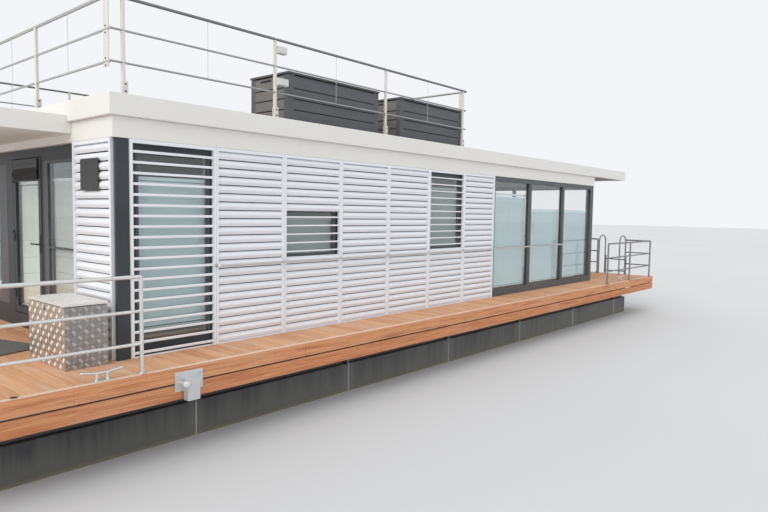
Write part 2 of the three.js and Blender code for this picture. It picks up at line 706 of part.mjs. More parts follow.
function foreRail(side) {
  const width = lineOnSide(side, RAIL_LINE);
  const run = [[FORE_POSTS[0], width], [FORE_RAIL_LINE, width],
    [FORE_RAIL_LINE, FORE_END_POSTS[side][0]]];
  const sidePosts = FORE_POSTS.map((length) => [length, width]);
  const endPosts = FORE_END_POSTS[side].map((line) => [FORE_RAIL_LINE, line]);
  return deckRail(run, [...sidePosts, ...endPosts]);
}

// Roof terrace: a closed rail on square posts, with a flat tie near each end of the cross runs.
const ROOF_RAILS = [
  { height: ROOF_TOP + 330, radius: 13 },
  { height: ROOF_TOP + 648, radius: 13 },
  { height: ROOF_TOP + 974, radius: 19 },
];
const ROOF_RAIL = {
  line: 120,
  span: [55, 6330],
  sidePosts: [195, 2140, 4230, 6260],
  endPosts: [1970, CABIN_WIDTH - 1970],
  top: ROOF_RAILS[2].height,
  post: [50, 50],
  foot: [120, 90],
  footThick: 10,
  tie: [72, 14],
  tieSetIn: 60,
  tieBottom: ROOF_TOP + 285,
  overrun: 11,
};

// A flat bar with its broad face across the rail: sizes are [along the run, through it].
function flatBar(length, width, onLongSide, sizes, heights) {
  const [run, through] = sizes.map((size) => size / 2);
  return block(around(length, onLongSide ? run : through),
    around(width, onLongSide ? through : run), heights);
}

function roofRail() {
  const [aft, fore] = ROOF_RAIL.span;
  const sides = [ROOF_RAIL.line, CABIN_WIDTH - ROOF_RAIL.line];
  const longRails = sides.flatMap((width) => railRun(
    [[aft - ROOF_RAIL.overrun, width], [fore + ROOF_RAIL.overrun, width]], ROOF_RAILS));
  const crossRails = [aft, fore].flatMap((length) => railRun(
    [[length, sides[0]], [length, sides[1]]], ROOF_RAILS));
  const post = (length, width, onLongSide) => [
    flatBar(length, width, onLongSide, ROOF_RAIL.post, [ROOF_FLOOR, ROOF_RAIL.top]),
    flatBar(length, width, onLongSide, ROOF_RAIL.foot,
      [ROOF_FLOOR, ROOF_FLOOR + ROOF_RAIL.footThick]),
  ];
  const longPosts = ROOF_RAIL.sidePosts.flatMap((length) => (
    sides.flatMap((width) => post(length, width, true))));
  const crossPosts = ROOF_RAIL.endPosts.flatMap((width) => (
    [aft, fore].flatMap((length) => post(length, width, false))));
  const ties = [aft, fore].flatMap((length) => inset(sides, ROOF_RAIL.tieSetIn).map((width) => (
    flatBar(length, width, false, ROOF_RAIL.tie, [ROOF_RAIL.tieBottom, ROOF_RAIL.top]))));
  return join([...longRails, ...crossRails, ...longPosts, ...crossPosts, ...ties]);
}

for (const side of SIDES) {
  piece(`aft_rail_${side}`, aftRail(side), materials.stainless);
  piece(`fore_rail_${side}`, foreRail(side), materials.stainless);
}
piece("roof_rail", roofRail(), materials.stainless);

// Grab rail along the near wall at hand height, on brackets fixed to the frames behind it.
const GRAB = { height: 908, line: -62, span: [1190, 9925], radius: 17, arm: 12, plate: 20 };

// Brackets, each with the face that its plate lies against.
const GRAB_BRACKETS = [
  { face: 0, lengths: [1190, 2180, 4180, 6180] },
  { face: FRAME_FACE, lengths: [8560, 9925] },
];

function grabRail() {
  const height = GRAB.height;
  const brackets = GRAB_BRACKETS.flatMap(({ face, lengths }) => lengths.flatMap((length) => [
    bar([length, -OVERLAP, height], [length, GRAB.line, height], GRAB.arm),
    block(around(length, GRAB.plate), [-6, face - SEAT_GAP], around(height, GRAB.plate)),
  ]));
  const [from, to] = GRAB.span;
  return join([bar([from, GRAB.line, height], [to, GRAB.line, height], GRAB.radius), ...brackets]);
}

piece("grab_rail", grabRail(), materials.stainless);

// Swim ladder at the fore end: fixed hoops, and a lower section that folds up outboard.
const LADDER = {
  stiles: [100, 650],
  out: DECK_SPAN[1] + 160,
  inner: DECK_SPAN[1] - 260,
  bend: 869,
  rise: 150,
  foot: -470,
  radius: 16,
  rungs: [-80, -340],
  rungRadius: 15,
  footRadius: 42,
  clampHalf: 22,
  clampHeights: [-110, -50],
};
const FOLD = {
  hinge: -430,
  out: LADDER.out + 62,
  length: 900,
  half: 14,
  stileHalf: 15,
  rungShares: [0.2, 0.54, 0.89],
  pinRadius: 6,
  ear: [20, 28],
  earHalfHeight: 25,
};

// A stile of the ladder: up from the deck, over in a half turn and down past its edge.
function hoop(width) {
  const centre = (LADDER.inner + LADDER.out) / 2;
  const reach = (LADDER.out - LADDER.inner) / 2;
  const arc = [1, 2, 3, 4, 5].map((step) => {
    const turn = Math.PI * step / 6;
    return [centre - reach * Math.cos(turn), width, LADDER.bend + LADDER.rise * Math.sin(turn)];
  });
  return sweptBar([[LADDER.inner, width, 0], [LADDER.inner, width, LADDER.bend], ...arc,
    [LADDER.out, width, LADDER.bend], [LADDER.out, width, LADDER.foot]], LADDER.radius);
}

function fixedLadder() {
  const [near, far] = LADDER.stiles;
  const rungs = LADDER.rungs.map((height) => bar(
    [LADDER.out, near, height], [LADDER.out, far, height], LADDER.rungRadius));
  const earHeights = around(FOLD.hinge, FOLD.earHalfHeight);
  const fittings = LADDER.stiles.flatMap((width) => [
    uprightBar(LADDER.inner, width, [0, 8], LADDER.footRadius, 12),
    block([DECK_SPAN[1] + SEAT_GAP, LADDER.out], around(width, LADDER.clampHalf),
      LADDER.clampHeights),
    block([LADDER.out - 5, LADDER.out + 12], around(width, FOLD.ear[1]), earHeights),
    block([LADDER.out, FOLD.out + 20], [width - FOLD.ear[1], width - FOLD.ear[0]], earHeights),
    block([LADDER.out, FOLD.out + 20], [width + FOLD.ear[0], width + FOLD.ear[1]], earHeights),
    bar([FOLD.out, width - FOLD.ear[1], FOLD.hinge], [FOLD.out, width + FOLD.ear[1], FOLD.hinge],
      FOLD.pinRadius, 12),
  ]);
  return join([...LADDER.stiles.map(hoop), ...rungs, ...fittings]);
}

function foldLadder() {
  const stiles = LADDER.stiles.map((width) => block(around(FOLD.out, FOLD.half),
    around(width, FOLD.stileHalf), [FOLD.hinge - FOLD.half, FOLD.hinge + FOLD.length]));
  const rungs = FOLD.rungShares.map((share) => block([FOLD.out - 12, FOLD.out + 22],
    LADDER.stiles, around(FOLD.hinge + FOLD.length * share, FOLD.half)));
  const holes = LADDER.stiles.map((width) => bar([FOLD.out, width - 40, FOLD.hinge],
    [FOLD.out, width + 40, FOLD.hinge], FOLD.pinRadius + 0.6, 12));
  return join([...stiles, ...rungs], holes);
}

piece("ladder", fixedLadder(), materials.stainless);
piece("ladder_fold", foldLadder(), materials.stainless);

// A box with a loose lid: the lid stands on two seats, and turns on knuckles at its far edge.
function openBox(lengths, widths, [bottom, rim], wall) {
  const hollow = block(inset(lengths, wall), inset(widths, wall), [bottom + wall, rim + PAST]);
  return join([block(lengths, widths, [bottom, rim])], [hollow]);
}

// Locker beside the entrance: chequer plate body and lid, hinged towards the cabin.
const LOCKER = {
  lengths: [-508, -95], widths: [-55, 800], top: 632, lid: 30, wall: 6,
  lidGap: 6, lip: 4, seatHalf: 20, seatInset: 60,
  knuckleInset: 120, knuckleHalf: 40, knuckleRadius: 6,
};
const LATCH = { width: 409, height: 558, stand: 8, radius: 17 };

function lockerBody() {
  const box = openBox(LOCKER.lengths, LOCKER.widths, [0, LOCKER.top - LOCKER.lid], LOCKER.wall);
  const face = LOCKER.lengths[0];
  const latch = bar([face - LATCH.stand, LATCH.width, LATCH.height],
    [face + OVERLAP, LATCH.width, LATCH.height], LATCH.radius, 12);
  return join([box, latch]);
}

function lockerLid() {
  const { lengths, widths, top, wall, lip } = LOCKER;
  const rim = top - LOCKER.lid;
  const under = rim + LOCKER.lidGap;
  const outer = block(inset(lengths, -lip), inset(widths, -lip), [under, top]);
  const hollow = block(inset(lengths, wall), inset(widths, wall), [rim - PAST, top - wall]);
  const seats = inset(widths, LOCKER.seatInset).map((width) => block(
    [lengths[0], lengths[0] + wall], around(width, LOCKER.seatHalf),
    [rim + SEAT_GAP, under + OVERLAP]));
  const knuckles = inset(widths, LOCKER.knuckleInset).map((width) => bar(
    [lengths[1] + 2, width - LOCKER.knuckleHalf, under + OVERLAP],
    [lengths[1] + 2, width + LOCKER.knuckleHalf, under + OVERLAP], LOCKER.knuckleRadius));
  return join([outer, ...seats, ...knuckles], [hollow]);
}

piece("locker", lockerBody(), materials.chequerPlate);
piece("locker_lid", lockerLid(), materials.chequerPlate);

// Roof boxes: two deck boxes with lids hinged on their far edge.
const ROOF_BOX = {
  widths: [170, 940], top: 3315, lid: 30, wall: 24, lidGap: 6, lip: 10, lidWall: 20, lidTop: 18,
  seatInset: 80, seatHalf: 30, knuckleInset: 300, knuckleHalf: 60, knuckleRadius: 7,
};
const ROOF_BOX_LENGTHS = { aft: [2385, 4115], fore: [4620, 6280] };

function roofBoxLid(lengths) {
  const { widths, top, lip, lidWall } = ROOF_BOX;
  const rim = top - ROOF_BOX.lid;
  const under = rim + ROOF_BOX.lidGap;
  const outer = block(inset(lengths, -lip), inset(widths, -lip), [under, top]);
  const hollow = block(inset(lengths, lidWall), inset(widths, lidWall),
    [rim - PAST, top - ROOF_BOX.lidTop]);
  const seats = inset(lengths, ROOF_BOX.seatInset).map((length) => block(
    around(length, ROOF_BOX.seatHalf), [widths[0], widths[0] + lidWall],
    [rim + SEAT_GAP, under + OVERLAP]));
  const knuckles = inset(lengths, ROOF_BOX.knuckleInset).map((length) => bar(
    [length - ROOF_BOX.knuckleHalf, widths[1] + 6, under + 2],
    [length + ROOF_BOX.knuckleHalf, widths[1] + 6, under + 2], ROOF_BOX.knuckleRadius));
  return join([outer, ...seats, ...knuckles], [hollow]);
}

for (const [name, lengths] of Object.entries(ROOF_BOX_LENGTHS)) {
  piece(`roof_box_${name}`, openBox(lengths, ROOF_BOX.widths,
    [ROOF_FLOOR, ROOF_BOX.top - ROOF_BOX.lid], ROOF_BOX.wall), materials.boxPlastic);
  piece(`roof_box_lid_${name}`, roofBoxLid(lengths), materials.boxPlastic);
}

// Mooring gear: a bracket with a ball on the near fascia and a horn cleat at each corner.
const MOORING = {
  plate: [250, 553], plateHeights: [-225, -35], plateThick: 12,
  cheek: [340, 475], cheekHeights: [-315, -106], cheekReach: 90,
  arm: 300, armHeight: -135, armRadius: 18, ball: 42, ballReach: 130,
};

function mooringBracket() {
  const face = -SIDE_DECK - SEAT_GAP;
  const back = face - MOORING.plateThick + OVERLAP;
  const plate = block(MOORING.plate, [face - MOORING.plateThick, face], MOORING.plateHeights);
  const cheek = block(MOORING.cheek, [face - MOORING.cheekReach, back], MOORING.cheekHeights);
  const arm = bar([MOORING.arm, back, MOORING.armHeight],
    [MOORING.arm, face - MOORING.ballReach, MOORING.armHeight], MOORING.armRadius);
  const centre = toPoint([MOORING.arm, face - MOORING.ballReach, MOORING.armHeight]);
  const ball = new THREE.SphereGeometry(MOORING.ball, 12, 8).translate(...centre.toArray());
  return join([plate, cheek, arm, ball]);
}

piece("mooring_bracket", mooringBracket(), materials.galvanised);

const CLEAT = {
  horn: 180, waist: 60, tipHeight: 92, waistHeight: 74, hornRadius: 13,
  legs: [-45, 45], legRadius: 16, baseHalf: [90, 32], base: 10,
};
const CLEAT_PLACES = { aft: [-410, -598], fore: [12300, -470] };

function cleat(length, width) {
  const horns = sweptBar([
    [length - CLEAT.horn, width, CLEAT.tipHeight], [length - CLEAT.waist, width, CLEAT.waistHeight],
    [length + CLEAT.waist, width, CLEAT.waistHeight], [length + CLEAT.horn, width, CLEAT.tipHeight],
  ], CLEAT.hornRadius);
  const legs = CLEAT.legs.map((offset) => uprightBar(
    length + offset, width, [CLEAT.base / 2, CLEAT.waistHeight], CLEAT.legRadius));
  const base = block(around(length, CLEAT.baseHalf[0]), around(width, CLEAT.baseHalf[1]),
    [0, CLEAT.base]);
  return join([horns, ...legs, base]);
}

for (const [end, [length, line]] of Object.entries(CLEAT_PLACES)) {
  for (const side of SIDES) {
    piece(`cleat_${end}_${side}`, cleat(length, lineOnSide(side, line)), materials.stainless);
  }
}

export default houseboat;
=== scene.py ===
"""A houseboat on a concrete pontoon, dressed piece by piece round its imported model."""

import math

import bmesh
import bpy
import numpy as np
from mathutils import Matrix, Vector


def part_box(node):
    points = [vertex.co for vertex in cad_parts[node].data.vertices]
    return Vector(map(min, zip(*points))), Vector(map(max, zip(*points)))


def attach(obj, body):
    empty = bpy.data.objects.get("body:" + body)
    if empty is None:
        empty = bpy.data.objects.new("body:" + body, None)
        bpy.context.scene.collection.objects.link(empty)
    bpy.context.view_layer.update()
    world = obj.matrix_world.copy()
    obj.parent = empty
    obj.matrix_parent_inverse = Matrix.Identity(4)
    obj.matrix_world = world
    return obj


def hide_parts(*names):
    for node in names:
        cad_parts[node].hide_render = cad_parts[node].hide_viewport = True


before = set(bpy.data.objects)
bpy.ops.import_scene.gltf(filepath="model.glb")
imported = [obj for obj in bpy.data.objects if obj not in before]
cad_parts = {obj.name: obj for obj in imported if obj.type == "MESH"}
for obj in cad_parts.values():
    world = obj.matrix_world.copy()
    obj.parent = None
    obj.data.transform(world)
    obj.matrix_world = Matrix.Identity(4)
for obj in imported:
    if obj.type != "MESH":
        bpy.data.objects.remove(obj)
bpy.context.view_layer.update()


# Camera. It stands off the near aft corner and looks along the near long side. Its place and
# turn were solved from the straight edges of the deck, the walls and the roof.
CAMERA_PLACE = Vector((-8.9146, -9.2246, 3.0424))
CAMERA_YAW = math.radians(49.031)
CAMERA_PITCH = math.radians(3.95)
CAMERA_ROLL = math.radians(0.918)
CAMERA_LENS = 29.67
CAMERA_SENSOR = 36.0


def camera_turn():
    """The camera's turn, whose columns are its right, up and backward directions."""
    ahead = Vector((math.sin(CAMERA_YAW) * math.cos(CAMERA_PITCH),
                    math.cos(CAMERA_YAW) * math.cos(CAMERA_PITCH), -math.sin(CAMERA_PITCH)))
    level = Vector((math.cos(CAMERA_YAW), -math.sin(CAMERA_YAW), 0))
    upward = level.cross(ahead)
    right = math.cos(CAMERA_ROLL) * level + math.sin(CAMERA_ROLL) * upward
    above = math.cos(CAMERA_ROLL) * upward - math.sin(CAMERA_ROLL) * level
    return Matrix((right, above, -ahead)).transposed()


lens = bpy.data.cameras.new("photo_lens")
lens.lens = CAMERA_LENS
lens.sensor_width = CAMERA_SENSOR
lens.clip_end = 500
camera = bpy.data.objects.new("photo_camera", lens)
camera.matrix_world = Matrix.Translation(CAMERA_PLACE) @ camera_turn().to_4x4()
bpy.context.collection.objects.link(camera)
bpy.context.scene.camera = camera


# Floor and light. The pale floor lies at the waterline, and an overcast sky with one broad
# lamp from the aft end lights the boat. The plain view transform keeps the colours full.
WATERLINE = 0.625
FLOOR_REACH = 160.0
SKY_COLOUR = (0.96, 0.97, 1.0)
SKY_STRENGTH = 0.94
LAMP_COLOUR = (1.0, 0.955, 0.89)
LAMP_STRENGTH = 1.35
LAMP_SPREAD = math.radians(50)
LAMP_SIDE = Vector((-0.90, -0.13, 0.67))


class Field:
    """A value or colour that changes over a surface. Arithmetic on it adds Math nodes."""

    def __init__(self, paint, socket):
        self.paint = paint
        self.socket = socket

    def math(self, operation, *values):
        return self.paint.node("Math", {"operation": operation}, dict(enumerate(values)))

    def __add__(self, other):
        return self.math("ADD", self, other)

    def __sub__(self, other):
        return self.math("SUBTRACT", self, other)

    def __rsub__(self, other):
        return self.math("SUBTRACT", other, self)

    def __mul__(self, other):
        return self.math("MULTIPLY", self, other)

    def __truediv__(self, other):
        return self.math("DIVIDE", self, other)

    def __rtruediv__(self, other):
        return self.math("DIVIDE", other, self)

    def __abs__(self):
        return self.math("ABSOLUTE", self)

    def __gt__(self, other):
        return self.math("GREATER_THAN", self, other)

    def __lt__(self, other):
        return self.math("LESS_THAN", self, other)

    __radd__ = __add__
    __rmul__ = __mul__

    def whole(self):
        return self.math("FLOOR", self)

    def part(self):
        return self.math("FRACT", self)

    def limited(self):
        return self.math("MINIMUM", self.math("MAXIMUM", self, 0.0), 1.0)

    def between(self, low, high):
        """0 below low, 1 above high, and a straight ramp from one to the other."""
        return ((self - low) / (high - low)).limited()


class Paint:
    """A procedural finish: a material whose surface shader takes the fields that it is fed."""

    def __init__(self, name, **constants):
        self.material = bpy.data.materials.new(name)
        self.material.use_nodes = True
        self.tree = self.material.node_tree
        self.shader = self.tree.nodes["Principled BSDF"]
        self.feed(**constants)

    def put(self, socket, value):
        if isinstance(value, Field):
            self.tree.links.new(value.socket, socket)
        elif socket.type == "RGBA":
            socket.default_value = (*value, 1)
        else:
            socket.default_value = value

    def feed(self, **values):
        """Sets the surface shader's sockets, whose names are written with underscores."""
        for name, value in values.items():
            self.put(self.shader.inputs[name.replace("_", " ")], value)
        return self.material

    def node(self, kind, settings=None, sockets=None, output=0):
        made = self.tree.nodes.new("ShaderNode" + kind)
        for name, value in (settings or {}).items():
            setattr(made, name, value)
        for key, value in (sockets or {}).items():
            self.put(made.inputs[key], value)
        return Field(self, made.outputs[output])

    def place(self):
        return self.node("TexCoord", output="Object")

    def axes(self):
        """The three coordinates of a point in the boat's frame, as separate values."""
        apart = self.node("SeparateXYZ", sockets={0: self.place()})
        return [Field(self, socket) for socket in apart.socket.node.outputs]

    def noise(self, scale, stretch=(1, 1, 1), detail=4.0, rough=0.55):
        stretched = self.node("Mapping", sockets={"Vector": self.place(), "Scale": stretch})
        return self.node("TexNoise", sockets={
            "Vector": stretched, "Scale": scale, "Detail": detail, "Roughness": rough})

    def chance(self, value):
        """A number from 0 to 1 that is the same wherever the value is the same."""
        return self.node("TexWhiteNoise", {"noise_dimensions": "1D"}, {"W": value})

    def mix(self, share, first, second, how="MIX"):
        """A colour between two, at a share from 0 to 1, or their product with MULTIPLY."""
        return self.node("Mix", {"data_type": "RGBA", "blend_type": how}, {
            0: share, 6: first, 7: second}, 2)

    def bump(self, height, depth, strength=1.0):
        """A normal from a height that runs from 0 to 1 over a depth in metres."""
        return self.node("Bump", sockets={
            "Height": height, "Distance": depth, "Strength": strength})


def mottled(name, low_tone, high_tone, grain, rough, rough_more=0.0, **constants):
    """A finish that one noise moves between two tones, and from one roughness to more."""
    paint = Paint(name, Roughness=rough, **constants)
    spots = paint.noise(*grain)
    if rough_more:
        paint.feed(Roughness=rough + spots * rough_more)
    return paint.feed(Base_Color=paint.mix(spots, low_tone, high_tone))


pale_floor = mottled("pale_floor", (0.60, 0.61, 0.62), (0.66, 0.67, 0.68),
                     (0.12, (1, 1, 1), 2.0), 0.75)
floor_mesh = bpy.data.meshes.new("floor")
corners = [(-FLOOR_REACH, -FLOOR_REACH), (FLOOR_REACH, -FLOOR_REACH),
           (FLOOR_REACH, FLOOR_REACH), (-FLOOR_REACH, FLOOR_REACH)]
floor_mesh.from_pydata([(x, y, WATERLINE) for x, y in corners], [], [(0, 1, 2, 3)])
floor_mesh.materials.append(pale_floor)
floor = bpy.data.objects.new("floor", floor_mesh)
bpy.context.collection.objects.link(floor)

sky = bpy.data.worlds.new("overcast")
sky.use_nodes = True
sky.node_tree.nodes["Background"].inputs["Color"].default_value = (*SKY_COLOUR, 1)
sky.node_tree.nodes["Background"].inputs["Strength"].default_value = SKY_STRENGTH
bpy.context.scene.world = sky
bpy.context.scene.view_settings.view_transform = "Standard"

lamp = bpy.data.lights.new("broad_lamp", "SUN")
lamp.energy = LAMP_STRENGTH
lamp.angle = LAMP_SPREAD
lamp.color = LAMP_COLOUR
lamp_object = bpy.data.objects.new("broad_lamp", lamp)
lamp_object.rotation_euler = LAMP_SIDE.to_track_quat("Z", "Y").to_euler()
bpy.context.collection.objects.link(lamp_object)


# Pontoon: a hollow concrete float cast in bays, with a paler joint between each bay and the
# next. Its aft part is darker with painted shade, its foot is chalky, and growth marks the
# waterline.
SEAM_FIRST = -5.19
SEAM_PITCH = 2.34
SEAM_COUNT = 6
SEAM_WIDTH = 0.010
SEAM_PROUD = 0.003
SEAM_FOOT = 0.12


def seam_distance(along):
    """How far a point lies along the boat from the nearest joint of the pontoon, in pitches."""
    return abs(((along - SEAM_FIRST) / SEAM_PITCH + 0.5).part() - 0.5)


def concrete():
    paint = Paint("cast_concrete", Specular_IOR_Level=0.3)
    along, _, height = paint.axes()
    streaks = paint.noise(1.0, (7, 7, 0.35), 5.0, 0.6)
    clouds = paint.noise(1.3, (1, 1, 1.6), 4.0)
    pores = paint.noise(60.0, detail=3.0)
    tone = paint.mix(streaks.between(0.3, 0.72), (0.155, 0.155, 0.16), (0.225, 0.225, 0.225))
    tone = paint.mix(clouds.between(0.45, 0.75) * 0.3, tone, (0.26, 0.26, 0.25))
    pale = 1 - seam_distance(along).between(0.004, 0.05 + streaks * 0.03)
    tone = paint.mix(pale * 0.5, tone, (0.36, 0.36, 0.34))
    # Painted shade: the hull is painted darker towards its aft end.
    painted_aft_shade = 1 - along.between(-7.6, 6.0)
    tone = paint.mix(painted_aft_shade * 0.8, tone, (0.046, 0.046, 0.052))
    runs = streaks.between(0.42, 0.62)
    chalk = 1 - height.between(0.68 + runs * 0.10, 0.90 + runs * 0.22)
    tone = paint.mix(chalk * 0.45, tone, (0.19, 0.19, 0.155))
    growth = 1 - height.between(0.640, 0.665)
    tone = paint.mix(growth * 0.7, tone, (0.20, 0.185, 0.10))
    return paint.feed(Base_Color=tone, Roughness=0.9 - growth * 0.45,
                      Normal=paint.bump(pores + clouds, 0.002, 0.5))


def dress(name, finish, edge=0.003, steps=2):
    """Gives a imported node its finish, and rounds its sharp edges."""
    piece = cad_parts[name]
    weld = piece.modifiers.new("weld", "WELD")
    weld.merge_threshold = 1e-5
    rounding = piece.modifiers.new("rounding", "BEVEL")
    rounding.width = edge
    rounding.segments = steps
    rounding.limit_method = "ANGLE"
    rounding.angle_limit = math.radians(40)
    for slot in piece.material_slots:
        slot.material = finish


SHARP_ANGLE = math.radians(35)


class Solid:
    """Closed shapes of one piece, gathered as points and faces before they become a mesh."""

    def __init__(self):
        self.points = []
        self.faces = []

    def add(self, points, faces):
        first = len(self.points)
        self.points.extend(tuple(point) for point in points)
        self.faces.extend(tuple(first + i for i in face) for face in faces)

    def loft(self, rings):
        """Rings of equally many points, joined one to the next and closed at both ends."""
        count = len(rings[0])
        last = (len(rings) - 1) * count
        faces = [tuple(range(count)), tuple(range(last, last + count))]
        for start in range(0, last, count):
            faces += [(start + i, start + (i + 1) % count, start + count + (i + 1) % count,
                       start + count + i) for i in range(count)]
        self.add([point for ring_points in rings for point in ring_points], faces)

    def block(self, low, high, edge=0.001):
        """A block between two corners, with its edges taken off at a slant."""
        ends = (low, high)
        points = []
        for corner in range(8):
            sides = [corner >> axis & 1 for axis in range(3)]
            for kept in range(3):
                points.append([ends[side][axis] + (0 if axis == kept else (1 - 2 * side) * edge)
                               for axis, side in enumerate(sides)])
        self.add(points, BLOCK_FACES)

    def piece(self, name, body, finish, slot, replaces=()):
        """Makes the mesh, gives it its finish and lets it ride on a body."""
        mesh = bpy.data.meshes.new(name)
        mesh.from_pydata(self.points, [], self.faces)
        shape = bmesh.new()
        shape.from_mesh(mesh)
        bmesh.ops.recalc_face_normals(shape, faces=shape.faces)
        shape.to_mesh(mesh)
        shape.free()
        mesh.shade_smooth()
        mesh.set_sharp_from_angle(angle=SHARP_ANGLE)
        mesh.materials.append(finish)
        made = bpy.data.objects.new(name, mesh)
        bpy.context.collection.objects.link(made)
        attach(made, body)
        if replaces:
            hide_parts(*replaces)


def block_faces():
    """The faces of a block with slanted edges: six sides, twelve edges and eight corners."""
    faces = [(3 * corner, 3 * corner + 1, 3 * corner + 2) for corner in range(8)]
    for axis in range(3):
        one, two = [other for other in range(3) if other != axis]
        for side in range(2):
            start = side << axis
            ring = [start, start | 1 << one, start | 1 << one | 1 << two, start | 1 << two]
            faces.append(tuple(3 * corner + axis for corner in ring))
        for corner in (0, 1 << one, 1 << two, 1 << one | 1 << two):
            other = corner | 1 << axis
            faces.append((3 * corner + one, 3 * corner + two, 3 * other + two, 3 * other + one))
    return faces


BLOCK_FACES = block_faces()

dress("pontoon", concrete(), 0.012)
sealant = mottled("joint_sealant", (0.62, 0.62, 0.58), (0.36, 0.36, 0.33), (6.0, (1, 1, 0.2)), 0.8)
hull_low, hull_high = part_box("pontoon")
seams = Solid()
for index in range(SEAM_COUNT):
    place = SEAM_FIRST + index * SEAM_PITCH
    for side in (hull_low.y, hull_high.y):
        seams.block((place - SEAM_WIDTH / 2, side - SEAM_PROUD, hull_low.z + SEAM_FOOT),
                    (place + SEAM_WIDTH / 2, side + SEAM_PROUD, hull_high.z - 0.001))
seams.piece("pontoon_joints", "boat", sealant, "concrete")


# Steelwork: a galvanised ring and cross beams on the pontoon's rim, and a grid of beams on
# them that carries the boards. Its zinc is weathered grey, with painted shade making it darker.
def galvanised(name, flake_tones, bloom, metallic):
    """Zinc in flakes of two tones, with patches of a paler bloom."""
    paint = Paint(name, Metallic=metallic)
    flakes = paint.node("TexVoronoi", {"feature": "F1"}, {
        "Vector": paint.place(), "Scale": 70.0}, "Color")
    flake_tone = paint.node("SeparateColor", sockets={0: flakes})
    dull = paint.noise(2.5, detail=3.0)
    tone = paint.mix(flake_tone * 0.35, *flake_tones)
    tone = paint.mix(dull.between(0.5, 0.8) * 0.5, tone, bloom)
    return paint.feed(Base_Color=tone, Roughness=0.45 + dull * 0.25)


# Painted shade: a much darker copy of the galvanised finish, for the steel in the shade under the
# deck.
shaded_zinc = galvanised("shaded_zinc", ((0.10, 0.102, 0.105), (0.15, 0.153, 0.157)),
                       (0.19, 0.19, 0.188), 0.3)
dress("deck_bearers", shaded_zinc, 0.004)
dress("deck_frame", shaded_zinc, 0.002)


# Deck: larch boards laid across the boat, screwed to the beams, between pale edge boards that
# run all the way round. Each board has its own tone, and fine grooves along it.
DECK_BOARD = 0.140
DECK_GAP = 0.008
EDGE_BOARD = 0.066
BOARD_THICK = 0.028
SCREW_RADIUS = 0.0045
SCREW_LINES = 9
SCREW_SET_IN = 0.03
SCREW_MARGIN = 0.16


def larch(name, length_axis, pitch, first=0.0, grooves=0.0, paleness=0.0, worn=0.35, oiled=0.5,
          tint=(1, 1, 1)):
    """Oiled larch whose grain runs along one axis: boards repeat at a pitch across another."""
    paint = Paint(name, Specular_IOR_Level=0.35)
    axes = paint.axes()
    cross = axes[2] if length_axis == 0 else axes[0]
    board = ((cross - first) / pitch).whole()
    luck = paint.chance(board)

    def drawn(fine, along):
        """A stretch that is fine across the boards and long along their grain."""
        return tuple(along if axis == length_axis else fine for axis in range(3))

    shift = paint.node("CombineXYZ", sockets={0: luck * 37, 1: luck * 11, 2: luck * 5})
    moved = paint.node("VectorMath", {"operation": "MULTIPLY_ADD"}, {
        0: paint.place(), 1: drawn(60.0, 1.6), 2: shift})
    grain = paint.node("TexNoise", sockets={
        "Vector": moved, "Scale": 1.0, "Detail": 5.0, "Roughness": 0.6, "Distortion": 0.6})
    figure = paint.noise(1.0, drawn(6.0, 0.8), 3.0)
    swirl = paint.noise(1.0, drawn(22.0, 1.1), 4.0, 0.65)
    knots = paint.node("TexVoronoi", {"feature": "F1"}, {
        "Vector": paint.place(), "Scale": 3.2}, "Distance")
    tone = paint.mix(grain.between(0.34, 0.68), (0.50, 0.20, 0.08), (0.78, 0.41, 0.205))
    tone = paint.mix(luck * 0.7, tone, (0.86, 0.53, 0.30))
    tone = paint.mix(figure.between(0.5, 0.72) * worn, tone, (0.80, 0.61, 0.46))
    tone = paint.mix(swirl.between(0.5, 0.68) * oiled, tone, (0.40, 0.145, 0.055))
    tone = paint.mix((1 - knots.between(0.02, 0.055)) * 0.8, tone, (0.17, 0.065, 0.03))
    if paleness:
        tone = paint.mix(paleness, tone, (0.76, 0.66, 0.56))
    height = grain * 0.4
    if grooves:
        ribs = (abs((cross / grooves).part() - 0.5) * 2).between(0.12, 0.4)
        height = height + ribs
        # Painted shade: the bottoms of the grooves are painted darker.
        tone = paint.mix((1 - ribs) * 0.18, tone, (0.26, 0.11, 0.05))
    tone = paint.mix(1.0, tone, tint, "MULTIPLY")
    return paint.feed(Base_Color=tone, Roughness=0.58 + grain * 0.2,
                      Normal=paint.bump(height, 0.0012, 0.6))


deck_low, deck_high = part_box("deck_boards")
deck_top = deck_high.z
boards = Solid()
inner_low = deck_low.x + EDGE_BOARD + DECK_GAP
inner_high = deck_high.x - EDGE_BOARD - DECK_GAP
board_count = round((inner_high - inner_low + DECK_GAP) / (DECK_BOARD + DECK_GAP))
board_pitch = (inner_high - inner_low + DECK_GAP) / board_count
screws = Solid()


def disc(solid, centre, radius, thick, axis, sides=12):
    """A flat round plate of a given thickness, centred on a point, facing along an axis."""
    one, two = [other for other in range(3) if other != axis]
    rings = ([], [])
    for rim, end in zip(rings, (-thick / 2, thick / 2)):
        for step in range(sides):
            turn = 2 * math.pi * step / sides
            point = list(centre)
            point[axis] += end
            point[one] += radius * math.cos(turn)
            point[two] += radius * math.sin(turn)
            rim.append(point)
    solid.loft(rings)


